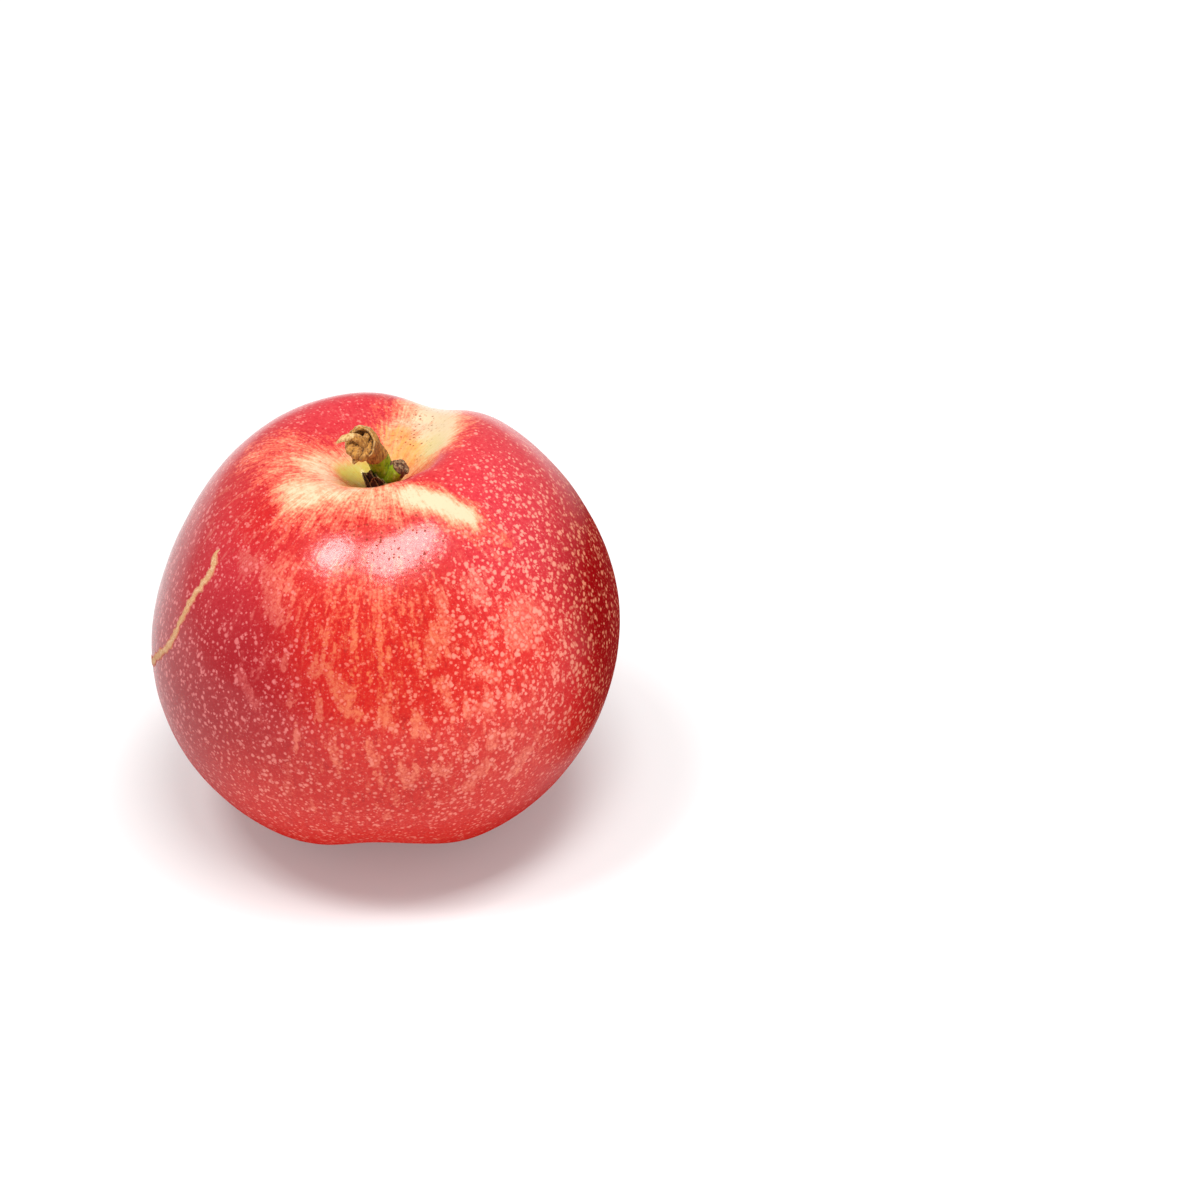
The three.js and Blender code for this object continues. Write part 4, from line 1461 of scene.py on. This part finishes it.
@dataclass
class Stem:
    """The green stalk with its torn, dried end, the stub of a side shoot and a loose fibre. Sizes in mm."""

    stalk: Limb = Limb(
        points=(
            (0.4, 0.3, 51.5),
            (0.4, 0.3, 53.0),
            (0.4, 0.2, 55.2),
            (0.1, -0.2, 57.6),
            (-0.6, -0.8, 59.7),
            (-1.3, -1.4, 61.4),
        ),
        radii=(1.0, 1.5, 1.65, 1.6, 1.58, 1.6),
        ribs=0.09,
        seed=1,
    )
    torn_end: Limb = Limb(
        points=((-1.1, -0.9, 60.9), (-1.7, -1.6, 61.8), (-2.2, -2.5, 62.6), (-2.6, -3.3, 63.2)),
        radii=(1.6, 2.05, 2.35, 2.25),
        tissue=Tissue.TORN,
        hollow=1.3,
        ragged=0.45,
        ribs=0.14,
        seed=2,
    )
    side_stub: Limb = Limb(
        points=((0.4, -0.1, 55.0), (1.5, -0.5, 56.3), (2.3, -0.8, 57.3), (2.9, -1.0, 58.0)),
        radii=(1.3, 1.45, 1.35, 0.95),
        ribs=0.06,
        seed=3,
    )
    claw: Limb = Limb(
        points=(
            (-1.7, -3.5, 62.4),
            (-2.1, -3.6, 63.5),
            (-2.9, -3.7, 64.3),
            (-3.9, -3.5, 64.3),
            (-4.9, -3.4, 63.9),
            (-5.7, -3.4, 63.3),
        ),
        radii=(0.7, 0.66, 0.58, 0.5, 0.38, 0.16),
        tissue=Tissue.FIBRE,
        ribs=0.07,
        flat=0.8,
        seed=4,
    )
    wood: tuple[Limb, ...] = splinters(
        5,
        (
            (((-1.3, -2.7, 62.8), (-1.7, -3.9, 62.0), (-2.6, -4.6, 61.4)), (0.7, 0.9, 0.55), Tissue.TORN),
            (((-2.4, -3.2, 62.7), (-2.9, -4.1, 62.1), (-3.4, -4.5, 61.5)), (0.7, 0.9, 0.5), Tissue.TORN),
            (((-3.1, -3.1, 63.0), (-3.7, -3.8, 62.5), (-3.9, -4.1, 61.9)), (0.6, 0.75, 0.45), Tissue.TORN),
            (((-1.4, -2.1, 64.0), (-1.8, -3.1, 63.5), (-2.2, -3.6, 62.8)), (0.4, 0.5, 0.4), Tissue.TORN),
            (((-1.1, -2.0, 63.9), (-0.9, -2.8, 63.0), (-1.2, -3.7, 62.1)), (0.35, 0.4, 0.35), Tissue.BARK),
            (((-3.6, -2.2, 64.2), (-2.6, -1.8, 64.7), (-1.4, -1.9, 64.4)), (0.3, 0.4, 0.35), Tissue.BARK),
            (((-2.9, -4.2, 61.5), (-3.2, -4.5, 61.1), (-3.4, -4.5, 60.7)), (0.5, 0.4, 0.2), Tissue.BARK),
        ),
    )
    bud: tuple[Limb, ...] = splinters(
        13,
        (
            (((1.8, -0.9, 57.5), (2.2, -0.8, 58.3), (2.5, -0.8, 58.5)), (0.6, 0.55, 0.3), Tissue.SCAR),
            (((2.5, -0.7, 58.2), (3.1, -0.8, 58.3), (3.4, -1.0, 57.9)), (0.5, 0.5, 0.3), Tissue.SCAR),
            (((3.1, -0.9, 58.0), (3.5, -1.3, 57.5), (3.2, -1.5, 57.0)), (0.4, 0.55, 0.35), Tissue.SCAR),
            (((2.3, -1.2, 57.9), (2.8, -1.4, 57.9), (3.1, -1.6, 57.5)), (0.4, 0.5, 0.3), Tissue.SCAR),
        ),
    )
    axil: Point = (1.4, -1.0, 57.4)
    # Painted shade round the crook: full within the first distance and gone beyond the second, in mm.
    axil_painted_shade: tuple[float, float] = (0.3, 0.7)
    stub_scar: tuple[float, float] = (1.0, 1.4)
    dries_along: Point = (-0.35, -0.35, 0.87)
    dries_over: tuple[float, float] = (53.4, 54.6)
    tissue_blend: float = 0.4
    fibre_lead: float = 0.15
    fold_rounds: int = 5  # rounds of smoothing that a fold's depth is measured from
    fold_gain: float = 6.0  # change of the hollowness a mm of depth
    voxel: float = 0.08

    @property
    def limbs(self) -> tuple[Limb, ...]:
        """Every limb of the stem."""
        return (self.stalk, self.torn_end, self.side_stub, self.claw, *self.wood, *self.bud)

    def _remeshed(self) -> bpy.types.Mesh:
        """One even mesh over all the limbs, in mm."""
        points, faces, start = [], [], 0
        for limb in self.limbs:
            p, f = limb.mesh()
            points.append(p)
            faces += [tuple(i + start for i in face) for face in f]
            start += len(p)
        rough_cut = make_object("stem_limbs", np.vstack(points), faces, scale=1.0)
        remesh = rough_cut.modifiers.new("remesh", "REMESH")
        remesh.mode = "VOXEL"
        remesh.voxel_size = self.voxel
        relax = rough_cut.modifiers.new("relax", "SMOOTH")
        relax.factor = 0.5
        relax.iterations = 2
        evaluated = rough_cut.evaluated_get(bpy.context.evaluated_depsgraph_get())
        mesh = bpy.data.meshes.new_from_object(evaluated)
        bpy.data.objects.remove(rough_cut)
        return mesh

    def _shares(self, points: Floats) -> dict[Optional[Tissue], Floats]:
        """How much each point belongs to each tissue.

        Args:
            points: Places in mm.

        Returns:
            Shares from 0 to 1 by tissue; None stands for the green skin.
        """
        gap = {}
        for limb in self.limbs:
            far = distance_to_line(points, limb.points) - np.mean(limb.radii)
            far -= self.fibre_lead if limb.tissue is Tissue.FIBRE else 0.0
            gap[limb.tissue] = np.minimum(gap.get(limb.tissue, far), far)
        near = np.min(list(gap.values()), 0)
        share = {tissue: 1 - smoothstep(far - near, 0.0, self.tissue_blend) for tissue, far in gap.items()}
        dried = smoothstep(points @ np.array(self.dries_along), *self.dries_over)
        dried = dried * (1 - share[Tissue.TORN]) * (1 - share[Tissue.FIBRE])
        share[Tissue.BARK] = np.maximum(share[Tissue.BARK], dried)
        healed = 1 - smoothstep(distance_to_line(points, self.side_stub.points[-1:]), *self.stub_scar)
        share[Tissue.SCAR] = np.maximum(share[Tissue.SCAR], healed)
        # Painted shade in the crook at the axil.
        share[Tissue.DARK] = 1 - smoothstep(distance_to_line(points, [self.axil]), *self.axil_painted_shade)
        return share

    def _wrinkles(self, points: Floats, share: dict[Optional[Tissue], Floats]) -> Floats:
        """Height of the wrinkles: deep on dried bark, long on torn wood and faint on the green skin.

        Args:
            points: Places in mm.
            share: How much each point belongs to each tissue.

        Returns:
            The height at each point in mm.
        """
        bark = np.clip(share[Tissue.BARK] + share[Tissue.SCAR], 0, 1)
        wood = np.clip(share[Tissue.TORN] + share[Tissue.FIBRE], 0, 1) * (1 - bark)
        green = (1 - bark) * (1 - wood)
        height = np.zeros(len(points))
        for cover, deep, drawn, size, seed in (
            (bark, 0.13, (1.0, 1.0, 0.6), 0.55, 3),
            (bark, 0.06, (1.0, 1.0, 1.0), 0.25, 4),
            (wood, 0.08, (0.45, 1.0, 0.8), 0.5, 6),
            (wood, 0.03, (0.5, 1.0, 1.0), 0.2, 7),
            (green, 0.035, (1.0, 1.0, 0.25), 0.45, 5),
        ):
            height += cover * deep * rough(points * drawn, size, seed)
        return height

    def _hollowness(self, mesh: bpy.types.Mesh, points: Floats, normals: Floats) -> Floats:
        """How hollow the surface is round each vertex.

        Args:
            mesh: The mesh that the points belong to.
            points: Its vertices in mm.
            normals: Their normals.

        Returns:
            0.5 on flat ground, more in folds and less on ridges.
        """
        ends = np.empty(len(mesh.edges) * 2, np.int64)
        mesh.edges.foreach_get("vertices", ends)
        ends = ends.reshape(-1, 2)
        start, end = np.concatenate([ends, ends[:, ::-1]]).T
        number = np.bincount(start, minlength=len(points))[:, None]
        soft = points.copy()
        for _ in range(self.fold_rounds):
            total = np.stack([np.bincount(start, soft[end, k], len(points)) for k in range(3)], 1)
            soft = total / np.maximum(number, 1)
        depth = ((soft - points) * normals).sum(1)
        return np.clip(0.5 + depth * self.fold_gain, 0, 1)

    def build(self) -> bpy.types.Object:
        """Makes the stem."""
        mesh = self._remeshed()
        points, normals = vertex_vectors(mesh, "co"), vertex_vectors(mesh, "normal")
        share = self._shares(points)
        points = points + normals * self._wrinkles(points, share)[:, None]
        hollow = self._hollowness(mesh, points, normals)
        mesh.vertices.foreach_set("co", (points * MM).ravel())
        mesh.materials.clear()
        mesh.materials.append(StalkFinish().build())
        mesh.polygons.foreach_set("use_smooth", np.ones(len(mesh.polygons), bool))
        for tissue in Tissue:
            set_attribute(mesh, tissue.value, share[tissue])
        set_attribute(mesh, HOLLOW, hollow)
        mesh.update()
        mesh.name = "stem_torn"
        made = add_object("stem_torn", mesh)
        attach(made, "root")
        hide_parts("stem")
        log.info("stem: %d vertices, %d faces", len(points), len(mesh.polygons))
        return made


# ---------------------------------------------------------------- the bud scales


@dataclass(frozen=True)
class Scale:
    """One dry scale: where it stands round the stalk in degrees, and its sizes in mm."""

    azimuth: float
    height: float
    half_width: float
    lean: float
    inset: float = 0.0


@dataclass
class BudScales:
    """Dry pointed scales standing round the foot of the stalk, some before others. Sizes in mm."""

    centre: tuple[float, float] = (0.5, 0.2)
    foot_z: float = 53.0
    foot_radius: float = 2.35
    root: float = 0.7  # how far below the foot a scale starts
    hidden: float = 0.8  # how much longer a scale is than its height
    ribs: int = 9
    rib: float = 0.05
    thickness: float = 0.26
    scales: tuple[Scale, ...] = (
        Scale(150, 2.0, 1.15, 0.5),
        Scale(177, 2.8, 1.30, 0.5),
        Scale(204, 3.8, 1.30, 0.5),
        Scale(228, 4.6, 1.25, 0.3),
        Scale(252, 4.2, 1.30, 0.4),
        Scale(277, 3.2, 1.20, 0.5),
        Scale(190, 3.2, 0.90, 0.1, 0.42),
        Scale(216, 4.3, 0.95, 0.1, 0.42),
        Scale(240, 4.1, 0.90, 0.15, 0.42),
        Scale(264, 3.4, 0.90, 0.1, 0.42),
    )
    across: int = 25
    up: int = 30

    def _sheet(self, scale: Scale, seed: float) -> tuple[Floats, Floats]:
        """The two faces of a scale, curled, ribbed and frayed.

        Args:
            scale: The scale.
            seed: Shifts its unevenness.

        Returns:
            Vertices of the outer and then the inner face, and how near each is to the scale's edge.
        """
        v, u = np.meshgrid(np.linspace(0, 1, self.up), np.linspace(-1, 1, self.across), indexing="ij")
        same = np.full(u.size, seed)
        outline = np.sqrt(np.clip(1 - v**2.4, 0.0016, 1)) * (0.78 + 0.3 * np.sin(math.pi * v))
        wave = rough(np.column_stack([u.ravel() * 2, v.ravel() * 4, same]), 1.0, seed).reshape(u.shape)
        fray = rough(np.column_stack([v.ravel() * 9, np.sign(u).ravel(), same]), 1.0, 2).reshape(u.shape)
        turn = math.radians(scale.azimuth)
        turn = turn + u * scale.half_width * outline * (1 + 0.12 * fray) / self.foot_radius
        rib = self.rib * np.cos(u * self.ribs * math.pi) * (1 - v)
        curl = 0.35 * u**2 * v + 0.18 * wave * v
        thin = np.sqrt(np.clip(1 - np.abs(u) ** 4, 0, 1)) * np.sqrt(np.clip(1 - v**6, 0, 1))
        middle = self.foot_radius + scale.lean * v**2 + curl
        z = self.foot_z + (scale.height + self.hidden) * v * (1 - 0.06 * np.abs(wave)) - self.root
        faces = []
        for side in (0.5, -0.5):
            radius = middle + rib * (side > 0) + side * self.thickness * (0.15 + 0.85 * thin)
            x, y = self.centre[0] + radius * np.cos(turn), self.centre[1] + radius * np.sin(turn)
            faces.append(np.stack([x, y, z], -1).reshape(-1, 3))
        edge = np.maximum(np.abs(u), v**2).ravel()
        return np.vstack(faces) - heading(scale.azimuth, 0) * scale.inset, np.concatenate([edge, edge])

    def build(self) -> bpy.types.Object:
        """Makes all the scales as one piece."""
        points, faces, edges, start = [], [], [], 0
        for seed, scale in enumerate(self.scales, start=1):
            sheet, edge = self._sheet(scale, float(seed))
            points.append(sheet)
            edges.append(edge)
            faces += shell_faces(self.up, self.across, start, flip=True)
            start += len(sheet)
        made = make_object("bud_scales_dry", np.vstack(points), faces, [ScaleFinish().build()])
        set_attribute(made.data, EDGE, np.concatenate(edges))
        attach(made, "root")
        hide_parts("bud_scales")
        log.info("bud scales: %d vertices, %d faces", start, len(faces))
        return made


# ---------------------------------------------------------------- the studio


@dataclass(frozen=True)
class Softbox:
    """A rectangular softbox: place and size in metres, and power in watts."""

    name: str
    place: Point
    size: tuple[float, float]
    power: float
    target: Point = (0, 0, 0.03)

    def build(self) -> bpy.types.Object:
        """Makes the light."""
        light = bpy.data.lights.new(self.name, "AREA")
        light.shape = "RECTANGLE"
        light.size, light.size_y = self.size
        light.energy = self.power
        made = add_object(self.name, light)
        aim(made, self.place, self.target)
        return made


@dataclass
class Studio:
    """A pale floor, soft light from above and the camera. Sizes in metres, and the lens in mm."""

    floor_size: float = 8.0
    floor_gap: float = 0.00005  # between the floor and the fruit's lowest point
    camera_place: Point = (0.030373, -0.464466, 0.359895)
    camera_target: Point = (0.030373, 0.001631, 0.033530)
    lens: float = 120.04
    sensor: float = 36.0
    world_front: float = 0.55
    world_back: float = 0.45
    lights: tuple[Softbox, ...] = (
        Softbox("softbox_left", (-0.365, -0.22, 1.05), (0.20, 0.28), 4.6),
        Softbox("softbox_right", (0.14, -0.22, 1.05), (0.54, 0.28), 8.6),
    )

    def _air(self) -> bpy.types.World:
        """The white tent round the fruit, a little brighter in front than behind."""
        graph = Graph(bpy.data.worlds.new("studio_air"), "ShaderNodeOutputWorld")
        way = graph.add("TexCoord", out="Generated")
        back = graph.add("SeparateXYZ", {0: way}, out="Y")
        glow = {0: back, LOW: -0.6, HIGH: 0.6, TO_LOW: self.world_front, TO_HIGH: self.world_back}
        glow = graph.add("MapRange", glow, interpolation_type=SMOOTH)
        return graph.finish(graph.add("Background", {"Color": linear("#FFFFFF"), "Strength": glow}))

    def _camera(self) -> bpy.types.Object:
        """Makes the camera."""
        lens = bpy.data.cameras.new("camera")
        lens.lens = self.lens
        lens.sensor_width = self.sensor
        camera = add_object("camera", lens)
        aim(camera, self.camera_place, self.camera_target)
        return camera

    def build(self) -> None:
        """Makes the floor, the lights, the world and the camera."""
        half = self.floor_size / 2
        corners = [(-half, -half), (half, -half), (half, half), (-half, half)]
        corners = [(x, y, -self.floor_gap) for x, y in corners]
        floor = make_object("floor", corners, [(0, 1, 2, 3)], [FloorPaint().build()], scale=1.0)
        for light in self.lights:
            light.build()
        scene = bpy.context.scene
        scene.world = self._air()
        scene.camera = self._camera()
        scene.view_settings.view_transform = "Standard"
        log.info("studio: floor, %d softboxes and the camera", len(self.lights))


def main() -> None:
    """Builds the nectarine and the studio."""
    logging.basicConfig(level=logging.INFO, format="%(name)s: %(message)s")
    Fruit().build()
    Stem().build()
    BudScales().build()
    Studio().build()
    bpy.context.view_layer.update()


if __name__ == "__main__":
    main()
